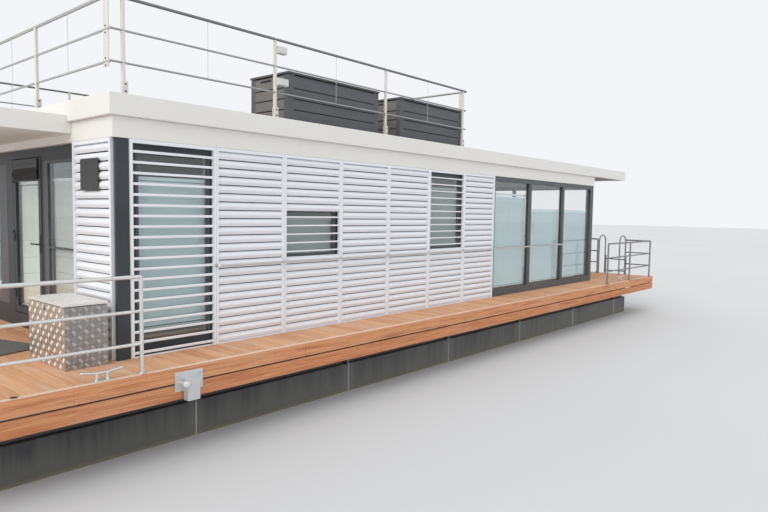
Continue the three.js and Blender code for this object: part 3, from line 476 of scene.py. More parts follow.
for index in range(board_count):
    start = inner_low + index * board_pitch
    boards.block((start, deck_low.y + EDGE_BOARD + DECK_GAP, deck_top - BOARD_THICK),
                 (start + board_pitch - DECK_GAP, deck_high.y - EDGE_BOARD - DECK_GAP, deck_top),
                 0.003)
    for line in range(SCREW_LINES):
        share = line / (SCREW_LINES - 1)
        across = (deck_low.y + SCREW_MARGIN
                  + share * (deck_high.y - deck_low.y - 2 * SCREW_MARGIN))
        for offset in (SCREW_SET_IN, board_pitch - DECK_GAP - SCREW_SET_IN):
            disc(screws, (start + offset, across, deck_top - 0.001), SCREW_RADIUS, 0.003, 2, 6)
boards.piece("deck_planks", "boat",
             larch("larch_deck", 1, board_pitch, inner_low, 0.0175, 0.10, 0.6, 0.3,
                   (0.97, 0.94, 0.92)), "larch", ["deck_boards"])


def wall_block(solid, axis, depth, widths, heights, edge=0.001):
    """A block in a wall that faces along an axis, from pairs of depths, widths and heights."""
    low, high = [0, 0, heights[0]], [0, 0, heights[1]]
    low[axis], high[axis] = depth
    low[1 - axis], high[1 - axis] = widths
    solid.block(low, high, edge)


edging = Solid()
for axis, set_in in ((1, 0.0), (0, EDGE_BOARD + 0.001)):
    for start in (deck_low[axis], deck_high[axis] - EDGE_BOARD):
        wall_block(edging, axis, (start, start + EDGE_BOARD),
                   (deck_low[1 - axis] + set_in, deck_high[1 - axis] - set_in),
                   (deck_top - BOARD_THICK, deck_top), 0.004)
edging.piece("deck_edge_boards", "boat", larch("larch_edge", 0, 0.3, paleness=0.7, oiled=0.2),
             "larch")
screw_steel = mottled("dark_steel", (0.10, 0.09, 0.08), (0.22, 0.19, 0.16), (40.0,), 0.4, 0.3,
                      Metallic=0.9)
screws.piece("deck_screws", "boat", screw_steel, "stainless")


# Fascia: two rows of larch boards round the deck with a dark gap between them, butted every
# four metres and screwed to battens on the steel behind.
FASCIA_THICK = 0.028
FASCIA_BOARD = 0.145
FASCIA_STEP = 0.1625
FASCIA_LENGTH = 4.0
FASCIA_JOINT = 0.003
FASCIA_RIB = 0.0240
FASCIA_TINT = (0.93, 0.79, 0.72)
FASCIA_SCREW_SET_IN = 0.035
BATTEN = 0.045
BATTEN_PITCH = 0.66


def spans(low, high, length, gap):
    """Even lengths of board between two ends, as pairs of start and end."""
    count = max(1, math.ceil((high - low) / length))
    step = (high - low) / count
    return [(low + i * step + gap / 2, low + (i + 1) * step - gap / 2) for i in range(count)]


fascia_low, fascia_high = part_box("deck_fascia")
side_boards = Solid()
end_boards = Solid()
battens = Solid()
fascia_screws = Solid()
for row in range(2):
    top = fascia_high.z - row * FASCIA_STEP
    for axis, row_boards, set_in, longer in ((1, side_boards, 0.0, FASCIA_LENGTH / 2 * row),
                                             (0, end_boards, FASCIA_THICK + 0.001, 0.0)):
        along = 1 - axis
        for outer, inward in ((fascia_low[axis], 1), (fascia_high[axis], -1)):
            depth = sorted((outer, outer + inward * FASCIA_THICK))
            for start, end in spans(fascia_low[along] + set_in, fascia_high[along] - set_in,
                                    FASCIA_LENGTH + longer, FASCIA_JOINT):
                wall_block(row_boards, axis, depth, (start, end), (top - FASCIA_BOARD, top), 0.004)
                for place in np.arange(start + 0.04, end, BATTEN_PITCH):
                    for drop in (FASCIA_SCREW_SET_IN, FASCIA_BOARD - FASCIA_SCREW_SET_IN):
                        centre = [outer, outer, top - drop]
                        centre[along] = place
                        disc(fascia_screws, centre, SCREW_RADIUS, 0.002, axis, 6)
for axis, margin in ((1, 0.1), (0, 0.2)):
    along = 1 - axis
    for place in np.arange(fascia_low[along] + margin, fascia_high[along] - margin, BATTEN_PITCH):
        for start in (fascia_low[axis] + FASCIA_THICK, fascia_high[axis] - FASCIA_THICK - BATTEN):
            wall_block(battens, axis, (start, start + BATTEN), (place, place + BATTEN),
                       (fascia_low.z + 0.01, deck_top - BOARD_THICK - 0.01))
fascia_wood = larch("larch_fascia", 0, FASCIA_STEP, fascia_high.z - FASCIA_STEP, FASCIA_RIB,
                    worn=0.2, oiled=0.75, tint=FASCIA_TINT)
stained_wood = mottled("stained_batten", (0.022, 0.02, 0.018), (0.055, 0.048, 0.04),
                       (1.0, (50, 50, 3), 4.0), 0.9)
side_boards.piece("fascia_boards_side", "boat", fascia_wood, "larch", ["deck_fascia"])
end_boards.piece("fascia_boards_end", "boat",
                 larch("larch_fascia_end", 1, FASCIA_STEP, worn=0.2, oiled=0.75, tint=FASCIA_TINT),
                 "larch")
battens.piece("fascia_battens", "boat", stained_wood, "larch")
fascia_screws.piece("fascia_screws", "boat", screw_steel, "stainless")


# Cabin floor and partition: laminate boards over an insulated floor, and a plain painted wall
# between the living room and the aft rooms.
def laminate():
    paint = Paint("floor_laminate", Roughness=0.35)
    _, across, _ = paint.axes()
    luck = paint.chance((across / 0.19).whole())
    grain = paint.noise(1.0, (1.5, 40, 40), 4.0)
    tone = paint.mix(grain, (0.30, 0.20, 0.12), (0.46, 0.33, 0.22))
    joint = ((across / 0.19).part() < 0.02) * 0.6
    tone = paint.mix(luck * 0.4, tone, (0.52, 0.40, 0.28))
    return paint.feed(Base_Color=paint.mix(joint, tone, (0.05, 0.035, 0.025)))


def wall_paint():
    paint = Paint("wall_paint", Roughness=0.8)
    roller = paint.noise(180.0, detail=2.0)
    cloud = paint.noise(0.8)
    return paint.feed(Base_Color=paint.mix(cloud, (0.62, 0.60, 0.56), (0.70, 0.68, 0.64)),
                      Normal=paint.bump(roller, 0.0004))


dress("cabin_floor", laminate())
inner_paint = wall_paint()
dress("partition", inner_paint)


# Walls: insulated panels with a satin anthracite powder coat outside and plain white inside.
# They show at the corners, round the doors and behind the open louvres.
WALL_INNER_SHARE = 0.105


def anthracite(name="anthracite_coat", lined=None,
               tones=((0.030, 0.037, 0.044), (0.052, 0.060, 0.068))):
    """The dark coat of frames and walls. A lined wall is white on its inner half."""
    paint = Paint(name, Specular_IOR_Level=0.4)
    peel = paint.noise(420.0, detail=1.0)
    dust = paint.noise(2.2, (1, 1, 0.5), 5.0)
    tone = paint.mix(dust.between(0.4, 0.75), *tones)
    if lined:
        axis, low, high = lined
        place = paint.axes()[axis]
        inside = (place > low) * (place < high)
        tone = paint.mix(inside, tone, (0.66, 0.64, 0.60))
    return paint.feed(Base_Color=tone, Roughness=0.38 + dust * 0.2,
                      Normal=paint.bump(peel, 0.0002, 0.4))


dark_coat = anthracite()
grey_coat = anthracite("grey_coat", tones=((0.088, 0.092, 0.096), (0.125, 0.13, 0.135)))
frame_coat = anthracite("frame_coat", tones=((0.078, 0.092, 0.097), (0.112, 0.126, 0.130)))
wall_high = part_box("wall_aft")[1]
inner_half = wall_high.y - WALL_INNER_SHARE * 1.5
for side in ("near", "far"):
    dress(f"wall_{side}", anthracite(f"anthracite_wall_{side}", (1, -inner_half, inner_half)))
dress("wall_aft", anthracite("anthracite_wall_aft", (0, wall_high.x - 0.03, wall_high.x + 1)))


# Windows: double panes in slim dark frames set in the wall, with pale slatted blinds behind
# them. The panes mirror some of the sky at a flat angle.
FRAME_BAR = 0.030
BLIND_SLAT = 0.025
BLIND_PITCH = 0.022
BLIND_TILT = math.radians(62)
BLIND_CORDS = 3
CORD_WIDTH = 0.0016
BLIND_HEAD = 0.04
BLIND_RAIL = 0.018
BLIND_FIRST = 0.03
BLIND_HALF_DEPTH = 0.013
BLIND_BEHIND = 0.050
BLIND_SET_IN = 0.018
FRAME_DEPTH = 0.05


def glass():
    """A thin pane: see-through face on, and more like a mirror towards a flat angle."""
    paint = Paint("window_glass", Roughness=0.02, Base_Color=(0.80, 0.85, 0.86), Metallic=1.0)
    facing = paint.node("LayerWeight", sockets={"Blend": 0.35}, output="Facing")
    return paint.feed(Alpha=0.06 + facing * facing * 0.45)


clear_glass = glass()


def ring(solid, axis, depth, widths, heights, bar):
    """Four bars round an opening. Its depth, widths and heights are pairs of numbers."""
    left, right = widths
    foot, head = heights
    inner = (left + bar, right - bar)
    for bar_widths, bar_heights in (((left, left + bar), heights), ((right - bar, right), heights),
                                    (inner, (foot, foot + bar)), (inner, (head - bar, head))):
        wall_block(solid, axis, depth, bar_widths, bar_heights, 0.002)


def blind(slats, axis, place, widths, heights, outward):
    """A slatted blind: thin tilted slats, a head box, a bottom rail and cords through them."""
    across = 1 - axis
    lean = Vector((0, 0, math.sin(BLIND_TILT)))
    lean[axis] = -outward * math.cos(BLIND_TILT)
    half = lean * BLIND_SLAT / 2
    lip = Vector((0, 0, 0))
    lip[axis] = 0.0012

    def corner(width, height, along_slat, through):
        point = Vector((0, 0, height))
        point[axis] = place
        point[across] = width
        return point + along_slat * half + through * lip

    low, high = heights
    count = int((high - BLIND_HEAD - BLIND_FIRST - low) / BLIND_PITCH)
    for index in range(count):
        height = low + BLIND_FIRST + (index + 0.5) * BLIND_PITCH
        points = [corner(width, height, s, t)
                  for width in widths for s, t in ((-1, -1), (1, -1), (1, 1), (-1, 1))]
        slats.add(points, [(0, 1, 2, 3), (4, 5, 6, 7), (0, 1, 5, 4), (1, 2, 6, 5),
                           (2, 3, 7, 6), (3, 0, 4, 7)])
    for rail_heights in ((low, low + BLIND_RAIL), (high - BLIND_HEAD, high)):
        wall_block(slats, axis, (place - BLIND_HALF_DEPTH, place + BLIND_HALF_DEPTH), widths,
                   rail_heights, 0.002)
    for step in range(BLIND_CORDS):
        width = widths[0] + (widths[1] - widths[0]) * (step + 0.5) / BLIND_CORDS
        for side in (-BLIND_SLAT / 2, BLIND_SLAT / 2):
            wall_block(slats, axis, (place + side - CORD_WIDTH / 2, place + side + CORD_WIDTH / 2),
                       (width, width + CORD_WIDTH), (low + 0.01, high - 0.01), 0.0004)


def blind_coat(name, tone_low, tone_high):
    paint = Paint(name, Roughness=0.45, Specular_IOR_Level=0.4)
    _, _, height = paint.axes()
    luck = paint.chance((height / BLIND_PITCH).whole())
    dust = paint.noise(3.0)
    tone = paint.mix(luck * 0.5, tone_low, tone_high)
    return paint.feed(Base_Color=paint.mix(dust.between(0.45, 0.8) * 0.3, tone, (0.5, 0.6, 0.57)))


teal_slats = blind_coat("teal_slats", (0.62, 0.78, 0.79), (0.70, 0.86, 0.87))
mint_slats = blind_coat("mint_slats", (0.84, 0.92, 0.82), (0.90, 0.97, 0.88))
grey_slats = blind_coat("grey_slats", (0.62, 0.65, 0.61), (0.70, 0.73, 0.69))
# Painted shade: a darker copy of the teal slats, for the blinds behind the louvres.
shaded_teal_slats = blind_coat("shaded_teal_slats", (0.33, 0.385, 0.385), (0.41, 0.465, 0.46))
window_frames = Solid()
window_slats = Solid()
shaded_slats = Solid()
light_slats = Solid()

# Height of each blind's lower and upper edge above the foot and below the head of its window.
WINDOW_BLINDS = {"bay": (0.14, 0.274), "small": (0.03, 0.09), "tall": (0.04, 0.20)}
for side, outward in (("near", -1), ("far", 1)):
    for window, (foot, head) in WINDOW_BLINDS.items():
        name = f"window_{window}_{side}"
        low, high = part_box(name)
        middle = (low.y + high.y) / 2
        depth = (middle - FRAME_DEPTH / 2, middle + FRAME_DEPTH / 2)
        ring(window_frames, 1, depth, (low.x, high.x), (low.z, high.z), FRAME_BAR)
        blind(window_slats if window == "bay" else shaded_slats, 1, middle - outward * BLIND_BEHIND,
              (low.x + BLIND_SET_IN, high.x - BLIND_SET_IN), (low.z + foot, high.z - head), outward)
        dress(name, clear_glass, 0.0)

# Each side light: where its blind ends across the boat, and its frame's broad bar by the door.
SIDE_LIGHTS = {"near": {"blind": (-2.06, -1.26), "post": (-1.355, -1.245)},
               "far": {"blind": (0.75, 2.06), "post": (-0.045, 0.24)}}
TRANSOM = (2.556, 2.577)
LIGHT_BLIND = (1.81, 3.377)
light_frames = Solid()
for side, spans_across in SIDE_LIGHTS.items():
    name = f"window_side_light_{side}"
    low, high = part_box(name)
    middle = (low.x + high.x) / 2
    depth = (middle - FRAME_DEPTH / 2, middle + FRAME_DEPTH / 2)
    ring(window_frames, 0, depth, (low.y, high.y), (low.z, high.z), FRAME_BAR)
    window_frames.block((depth[0], low.y, TRANSOM[0]), (depth[1], high.y, TRANSOM[1]), 0.002)
    left, right = spans_across["post"]
    light_frames.block((depth[0] - 0.003, left, low.z), (depth[1], right, high.z), 0.002)
    blind(light_slats, 0, middle + BLIND_BEHIND, spans_across["blind"], LIGHT_BLIND, -1)
    dress(name, clear_glass, 0.0)
window_frames.piece("window_frames", "boat", frame_coat, "anthracite")
light_frames.piece("side_light_posts", "boat", grey_coat, "anthracite")
window_slats.piece("bay_blinds", "boat", teal_slats, "blind_slat")
shaded_slats.piece("window_blinds", "boat", shaded_teal_slats, "blind_slat")
light_slats.piece("side_light_blinds", "boat", grey_slats, "blind_slat")


# Living room glazing: dark aluminium frames with long panes. Slatted blinds hang behind each
# field, let down to different heights.
for side in ("near", "far", "fore"):
    dress(f"glazing_frame_{side}", frame_coat)
    dress(f"glazing_pane_{side}", clear_glass, 0.0)

GLAZING_LINES = (1.28, 2.62, 4.11, 5.55)
GLAZING_POST = 0.050
GLAZING_BLIND_FOOT = 1.655
BLIND_TOPS = {"near": (3.44, 3.16, 3.16), "far": (3.64, 3.64, 3.64)}
for side, outward in (("near", -1), ("far", 1)):
    low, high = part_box(f"blinds_{side}")
    place = (low.y + high.y) / 2 + outward * 0.008
    slats = Solid()
    for field, top in enumerate(BLIND_TOPS[side]):
        widths = (GLAZING_LINES[field] + GLAZING_POST, GLAZING_LINES[field + 1] - GLAZING_POST)
        blind(slats, 1, place, widths, (GLAZING_BLIND_FOOT, top), outward)
    slats.piece(f"glazing_blinds_{side}", "boat", teal_slats, "blind_slat", [f"blinds_{side}"])

dress("sliding_door", frame_coat)
dress("sliding_door_pane", clear_glass, 0.0)


# Entrance door: an aluminium leaf with one long light and a blind behind it, a small grille and
# a plain panel above. It has a lever on a long plate, and a black strip of painted shade in the
# gap.
DOOR_FACE = -5.895
DOOR_TOP = 3.62
GRILLE_FIRST = 3.377
GRILLE_PITCH = 0.034
PANEL_FOOT = 3.512
PANEL_LINE = 3.564
GAP_SHADE_SPAN = (-1.182, -1.150)
GAP_SHADE_FACE = -5.88
DOOR_BLIND_BEHIND = 0.083
dress("entrance_door", dark_coat)
dress("entrance_door_lever", dark_coat, 0.001)
dress("entrance_door_pane", clear_glass, 0.0)
leaf_low, leaf_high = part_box("entrance_door_pane")
rubber = mottled("black_rubber", (0.012, 0.012, 0.012), (0.035, 0.035, 0.035), (60.0,), 0.8)
door_panel = Solid()
for bottom, top in ((PANEL_FOOT, PANEL_LINE - 0.001), (PANEL_LINE + 0.001, DOOR_TOP)):
    door_panel.block((DOOR_FACE - 0.004, leaf_low.y, bottom),
                     (DOOR_FACE + 0.004, leaf_high.y, top), 0.001)
door_panel.piece("entrance_door_panel", "entrance_door", dark_coat, "anthracite")
door_grille = Solid()
for slat in range(3):
    bottom = GRILLE_FIRST + slat * GRILLE_PITCH
    door_grille.block((DOOR_FACE - 0.006, leaf_low.y, bottom),
                      (DOOR_FACE + 0.002, leaf_high.y, bottom + 0.022), 0.003)
# Painted shade: a black sheet behind the grille's slats stands in for the shaded gaps between them.
door_grille.block((DOOR_FACE - 0.002, leaf_low.y, GRILLE_FIRST - 0.006),
                  (DOOR_FACE + 0.001, leaf_high.y, PANEL_FOOT - 0.005), 0.0005)
door_grille.piece("entrance_door_grille", "entrance_door", rubber, "anthracite")
# Painted shade: a black strip stands in for the shaded gap between the door and the side light.
door_gap_shade = Solid()
door_gap_shade.block((GAP_SHADE_FACE - 0.003, GAP_SHADE_SPAN[0], leaf_low.z - 0.05),
                (GAP_SHADE_FACE + 0.001, GAP_SHADE_SPAN[1], DOOR_TOP + 0.03), 0.0005)
door_gap_shade.piece("entrance_door_gap_shade", "boat", rubber, "anthracite")
door_slats = Solid()
blind(door_slats, 0, DOOR_FACE + DOOR_BLIND_BEHIND, (leaf_low.y + 0.02, leaf_high.y - 0.02),
      (leaf_low.z + 0.02, leaf_high.z - 0.01), -1)
door_slats.piece("entrance_door_blind", "entrance_door", mint_slats, "blind_slat")


# Louvre screens: white aluminium panels a metre wide. Closed panels have bowed slats with a
# shadow line under each, and the panels before windows have thin open blades on one raster.
SLATS = 23
SLAT_FIRST = 1.5085
SLAT_PITCH = 0.0955
SLAT_FACE = 0.006
SLAT_BACK = 0.042
SLAT_SHADOW = 0.010
SLAT_BOW = 0.034
SLAT_BELLY = 0.50
SLAT_STEPS = 8
BLADE_FIRST = 1.546
BLADE_PITCH = 0.1091
BLADE_DEPTHS = (0.008, 0.030)
PANEL_EDGE = 0.030
PANEL_JOINT = 0.003
BOAT_AFT = -5.94
PANEL_FIRST = BOAT_AFT + 0.18
PANEL_WIDTH = 1.0
PANEL_SHIFT = 0.014
SCREEN_DEPTH = 0.046

# For each kind of panel: the closed slats that are left out, counted from below, the places on
# the raster that have a blade, and a blade's height.
CLOSED = {"left_out": (), "blades": (), "blade": 0.0}
BEFORE_BAY = {"left_out": range(SLATS), "blades": range(20), "blade": 0.028}
BEFORE_SMALL = {"left_out": range(10, 16), "blades": range(9, 14), "blade": 0.020}
BEFORE_TALL = {"left_out": range(10, SLATS), "blades": range(9, 20), "blade": 0.020}
PANELS = (BEFORE_BAY, CLOSED, BEFORE_SMALL, CLOSED, CLOSED, BEFORE_TALL, CLOSED)


def louvre_coat():
    paint = Paint("white_louvre", Specular_IOR_Level=0.45)
    peel = paint.noise(420.0, detail=1.0)
    runs = paint.noise(1.0, (22, 22, 1.0), 4.0)
    cloud = paint.noise(0.9, detail=2.0)
    tone = paint.mix(runs.between(0.5, 0.8) * 0.2, (0.82, 0.845, 0.885), (0.70, 0.715, 0.75))
    tone = paint.mix(cloud * 0.25, tone, (0.86, 0.88, 0.91))
    return paint.feed(Base_Color=tone, Roughness=0.38 + runs * 0.15,
                      Normal=paint.bump(peel, 0.0002, 0.3))


def slat_outline(bottom):
    """A closed slat's section as depth and height: its foot and its head lean back."""
    foot = bottom + SLAT_SHADOW * 0.6
    rise = SLAT_PITCH - SLAT_SHADOW
    points = [(SLAT_BACK, foot + 0.004)]
    for step in range(SLAT_STEPS + 1):
        share = step / SLAT_STEPS
        if share < SLAT_BELLY:
            bow = math.sin(math.pi / 2 * (0.25 + 0.75 * share / SLAT_BELLY))
        else:
            bow = math.cos(math.pi / 2 * (share - SLAT_BELLY) / (1 - SLAT_BELLY))
        points.append((SLAT_FACE + SLAT_BOW * (1 - bow), foot + share * rise))
    points.append((SLAT_BACK, foot + rise))
    return points


def bowed_slat(solid, axis, face, inward, span, bottom):
    """One closed slat along a wall: its outline swept from one end of the span to the other."""
    rings = ([], [])
    for rim, end in zip(rings, span):
        for depth, height in slat_outline(bottom):
            point = [0, 0, height]
            point[axis] = face + inward * depth
            point[1 - axis] = end
            rim.append(point)
    solid.loft(rings)


def screen_panel(solid, axis, face, inward, span, heights, kind=CLOSED):
    """A panel between two uprights, with closed slats and open blades as its kind has them."""
    depth = sorted((face, face + inward * SCREEN_DEPTH))
    blade_depth = sorted(face + inward * depth for depth in BLADE_DEPTHS)
    left, right = span[0] + PANEL_JOINT / 2, span[1] - PANEL_JOINT / 2
    inner = (left + PANEL_EDGE, right - PANEL_EDGE)
    wall_block(solid, axis, depth, (left, inner[0]), heights, 0.002)
    wall_block(solid, axis, depth, (inner[1], right), heights, 0.002)
    head = SLAT_FIRST + SLATS * SLAT_PITCH
    wall_block(solid, axis, depth, inner, (heights[0], SLAT_FIRST + 0.003), 0.001)
    wall_block(solid, axis, depth, inner, (head - 0.003, heights[1]), 0.002)
    for index in range(SLATS):
        if index not in kind["left_out"]:
            bowed_slat(solid, axis, face, inward, (inner[0] + 0.002, inner[1] - 0.002),
                       SLAT_FIRST + index * SLAT_PITCH)
    for index in kind["blades"]:
        middle = BLADE_FIRST + index * BLADE_PITCH
        wall_block(solid, axis, blade_depth, inner,
                   (middle - kind["blade"] / 2, middle + kind["blade"] / 2), 0.005)


louvre_white = louvre_coat()
screen_low, screen_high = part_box("screen_near")
screen_heights = (screen_low.z + 0.001, screen_high.z - 0.001)
panel_ends = [PANEL_FIRST + number * PANEL_WIDTH + (PANEL_SHIFT if 0 < number < len(PANELS) else 0)
              for number in range(len(PANELS) + 1)]
for side, inward in (("near", 1), ("far", -1)):
    low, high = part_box(f"screen_{side}")
    face = low.y if side == "near" else high.y
    screen = Solid()
    for span, kind in zip(zip(panel_ends, panel_ends[1:]), PANELS):
        screen_panel(screen, 1, face, inward, span, screen_heights, kind)
    screen.piece(f"louvres_{side}", "boat", louvre_white, "white_louvre", [f"screen_{side}"])

for side in ("near", "far"):
    low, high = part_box(f"screen_end_{side}")
    screen = Solid()
    screen_panel(screen, 0, BOAT_AFT, 1, (low.y, high.y), screen_heights)
    screen.piece(f"louvres_end_{side}", "boat", louvre_white, "white_louvre",
                 [f"screen_end_{side}"])


# Sign plate: a blank dark grey aluminium plate that stands off the near end screen on four
# short spacers.
SIGN_LOW = Vector((BOAT_AFT - 0.006, -2.782, 3.225))
SIGN_HIGH = Vector((BOAT_AFT - 0.002, -2.374, 3.55))
sign_coat = mottled("sign_plate", (0.036, 0.038, 0.042), (0.055, 0.057, 0.06),
                    (1.0, (4, 4, 300), 3.0), 0.4, 0.15, Metallic=0.3)
sign = Solid()
sign.block(SIGN_LOW, SIGN_HIGH, 0.001)
for across in (SIGN_LOW.y + 0.03, SIGN_HIGH.y - 0.03):
    for height in (SIGN_LOW.z + 0.03, SIGN_HIGH.z - 0.03):
        disc(sign, (BOAT_AFT + 0.004, across, height), 0.008, 0.014, 0)
sign.piece("sign_plate", "boat", sign_coat, "anthracite")


# Bands and canopy: cream-white coated sheet folded round the heads of the walls and the edge
# of the roof. Rain has left faint runs down it.
def band_coat():
    paint = Paint("band_coat", Specular_IOR_Level=0.4)
    runs = paint.noise(1.0, (9, 9, 0.5), 5.0)
    cloud = paint.noise(0.7, detail=3.0)
    peel = paint.noise(300.0, detail=1.0)
    tone = paint.mix(cloud, (0.775, 0.765, 0.725), (0.83, 0.825, 0.79))
    tone = paint.mix(runs.between(0.58, 0.85) * 0.12, tone, (0.60, 0.59, 0.55))
    return paint.feed(Base_Color=tone, Roughness=0.42 + runs * 0.2,
                      Normal=paint.bump(peel, 0.0002, 0.3))


cream = band_coat()
dress("head_band", cream, 0.006, 3)
dress("roof_band", cream, 0.008, 3)
dress("entrance_canopy", cream, 0.008, 3)


# Roof: grey sealing film in overlapping strips over the fore part, and ribbed composite boards
# laid side by side on the roof terrace.
ROOF_BOARD = 0.145
ROOF_GAP = 0.005


def roof_film():
    paint = Paint("roof_film", Roughness=0.7)
    along, _, _ = paint.axes()
    lap = (along / 1.6).part() < 0.03
    dust = paint.noise(0.9, detail=6.0, rough=0.65)
    puddle = paint.noise(0.35, detail=2.0).between(0.5, 0.56)
    tone = paint.mix(dust, (0.21, 0.22, 0.23), (0.33, 0.335, 0.34))
    tone = paint.mix(puddle * 0.35, tone, (0.15, 0.15, 0.15))
    return paint.feed(Base_Color=tone, Normal=paint.bump(lap + dust * 0.2, 0.003, 0.7))


def composite():
    paint = Paint("terrace_composite", Roughness=0.75)
    along, _, _ = paint.axes()
    luck = paint.chance((along / (ROOF_BOARD + ROOF_GAP)).whole())
    grain = paint.noise(1.0, (60, 2, 60), 4.0)
    ribs = abs((along / 0.012).part() - 0.5) * 2
    tone = paint.mix(grain, (0.17, 0.155, 0.14), (0.27, 0.25, 0.23))
    tone = paint.mix(luck * 0.3, tone, (0.33, 0.31, 0.29))
    return paint.feed(Base_Color=tone, Normal=paint.bump(ribs.between(0.15, 0.5), 0.0015, 0.7))


dress("roof_slab", roof_film(), 0.002)
terrace_low, terrace_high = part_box("roof_terrace")
terrace = Solid()
terrace_count = round((terrace_high.x - terrace_low.x) / (ROOF_BOARD + ROOF_GAP))
terrace_pitch = (terrace_high.x - terrace_low.x) / terrace_count
for index in range(terrace_count):
    start = terrace_low.x + index * terrace_pitch
    terrace.block((start, terrace_low.y + 0.004, terrace_high.z - 0.022),
                  (start + terrace_pitch - ROOF_GAP, terrace_high.y - 0.004, terrace_high.z), 0.002)
terrace.block((terrace_low.x, terrace_low.y + 0.002, terrace_low.z),
              (terrace_high.x, terrace_high.y - 0.002, terrace_high.z - 0.026))
terrace.piece("terrace_boards", "boat", composite(), "roof_film", ["roof_terrace"])


# Rails: satin polished steel tube. Three rails, mitred at the corners, run through round posts
# on small foot plates that are screwed down.
POST_RADIUS = 0.0190

# Heights of the rails above the deck, each with its radius.
DECK_RAILS = ((0.286, 0.0155), (0.592, 0.0155), (0.912, 0.0190))


def tube(solid, points, radius, sides=14):
    """A round bar along a route, with mitred turns and flat ends."""
    route = [Vector(point) for point in points]
    legs = [(after - before).normalized() for before, after in zip(route, route[1:])]
    side = legs[0].orthogonal().normalized()
    rings = []
    for centre, behind, ahead in zip(route, legs[:1] + legs, legs + legs[-1:]):
        normal = (behind + ahead).normalized()
        side = (side - behind * side.dot(behind)).normalized()
        other = behind.cross(side)
        rim = []
        for step in range(sides):
            turn = 2 * math.pi * step / sides
            spoke = radius * (math.cos(turn) * side + math.sin(turn) * other)
            spoke -= behind * (spoke.dot(normal) / max(behind.dot(normal), 0.2))
            rim.append(centre + spoke)
        rings.append(rim)
    solid.loft(rings)


def satin_steel(name, tone_low, tone_high, rough=0.3):
    paint = Paint(name, Metallic=1.0)
    smear = paint.noise(9.0, detail=3.0)
    polish = paint.noise(160.0, (1, 1, 0.15), 2.0)
    return paint.feed(Base_Color=paint.mix(smear, tone_low, tone_high),
                      Roughness=rough + smear * 0.12 + polish * 0.06)


steel = satin_steel("satin_steel", (0.66, 0.66, 0.65), (0.86, 0.86, 0.84), 0.24)
shaded_steel = satin_steel("shaded_steel", (0.24, 0.24, 0.245), (0.38, 0.38, 0.385), 0.4)

RAIL_LINE = -3.705
RAIL_AFT = -7.91
RAIL_FORE = 7.91
GAP_EDGE = 0.6

# Each run: its side, where it starts and turns along the boat, where it ends across the boat,
# and its further posts along and across the boat.
DECK_RUNS = (
    ("aft_rail_near", 1, -5.985, RAIL_AFT, -GAP_EDGE, (), (-2.1525,)),
    ("aft_rail_far", -1, -5.985, RAIL_AFT, GAP_EDGE, (), (2.1525,)),
    ("fore_rail_near", 1, 5.15, RAIL_FORE, -3.075, (6.51,), ()),
    ("fore_rail_far", -1, 5.15, RAIL_FORE, -2.325, (6.51,), (-0.985, 0.575, 2.145)),
)
FOOT_RADIUS = 0.042
FOOT_THICK = 0.009
FOOT_BOLTS = 0.032
for name, side, start, turn_at, end, along_posts, across_posts in DECK_RUNS:
    line = side * RAIL_LINE
    corners = [(start, line), (turn_at, line), (turn_at, end)]
    posts = corners + [(x, line) for x in along_posts] + [(turn_at, y) for y in across_posts]
    rail = Solid()
    for height, radius in DECK_RAILS:
        tube(rail, [(x, y, deck_top + height) for x, y in corners], radius)
    for x, y in posts:
        tube(rail, [(x, y, deck_top + 0.008), (x, y, deck_top + DECK_RAILS[2][0])], POST_RADIUS)
        disc(rail, (x, y, deck_top + FOOT_THICK / 2), FOOT_RADIUS, FOOT_THICK, 2, 20)
        tube(rail, [(x, y, deck_top + 0.008), (x, y, deck_top + 0.02)], 0.028)
        for turn in range(4):
            angle = math.pi / 4 + turn * math.pi / 2
            disc(rail, (x + FOOT_BOLTS * math.cos(angle), y + FOOT_BOLTS * math.sin(angle),
                        deck_top + 0.0105), 0.0055, 0.004, 2, 6)
    rail.piece(name + "_tubes", "boat", shaded_steel if name.startswith("fore") else steel,
               "stainless", [name])


# Roof rail: grey tubes on square cream posts that stand inside the roof band, with a bolted
# flat near each corner and thin rods between the rails halfway along each field.

# Each rail's height, and its radius along and across the boat.
ROOF_RAILS = ((4.503, 0.0110, 0.0125), (4.821, 0.0110, 0.0125), (5.147, 0.0165, 0.0185))
ROOF_RAIL_ENDS = (-5.885, 0.39)
ROOF_RAIL_LINE = 2.965
ROOF_POSTS = (-5.745, -3.80, -1.71, 0.32)
ROOF_CROSS_POSTS = (-1.115, 1.115)
ROOF_FLOOR = 4.1
ROOF_BAND_TOP = 4.173
POST_WIDE = 0.035
POST_SET_IN = 0.0085
TIE_SET_IN = 0.093
TIE = (0.014, 0.106)
TIE_FOOT = 4.455
ROD_RADIUS = 0.003
ROD_PLACES = (-1.98, -0.345, 0.345, 1.98)
post_cream = mottled("cream_post", (0.66, 0.645, 0.595), (0.80, 0.785, 0.735),
                     (5.0, (1, 1, 0.4), 4.0), 0.4, 0.15, Metallic=0.2)
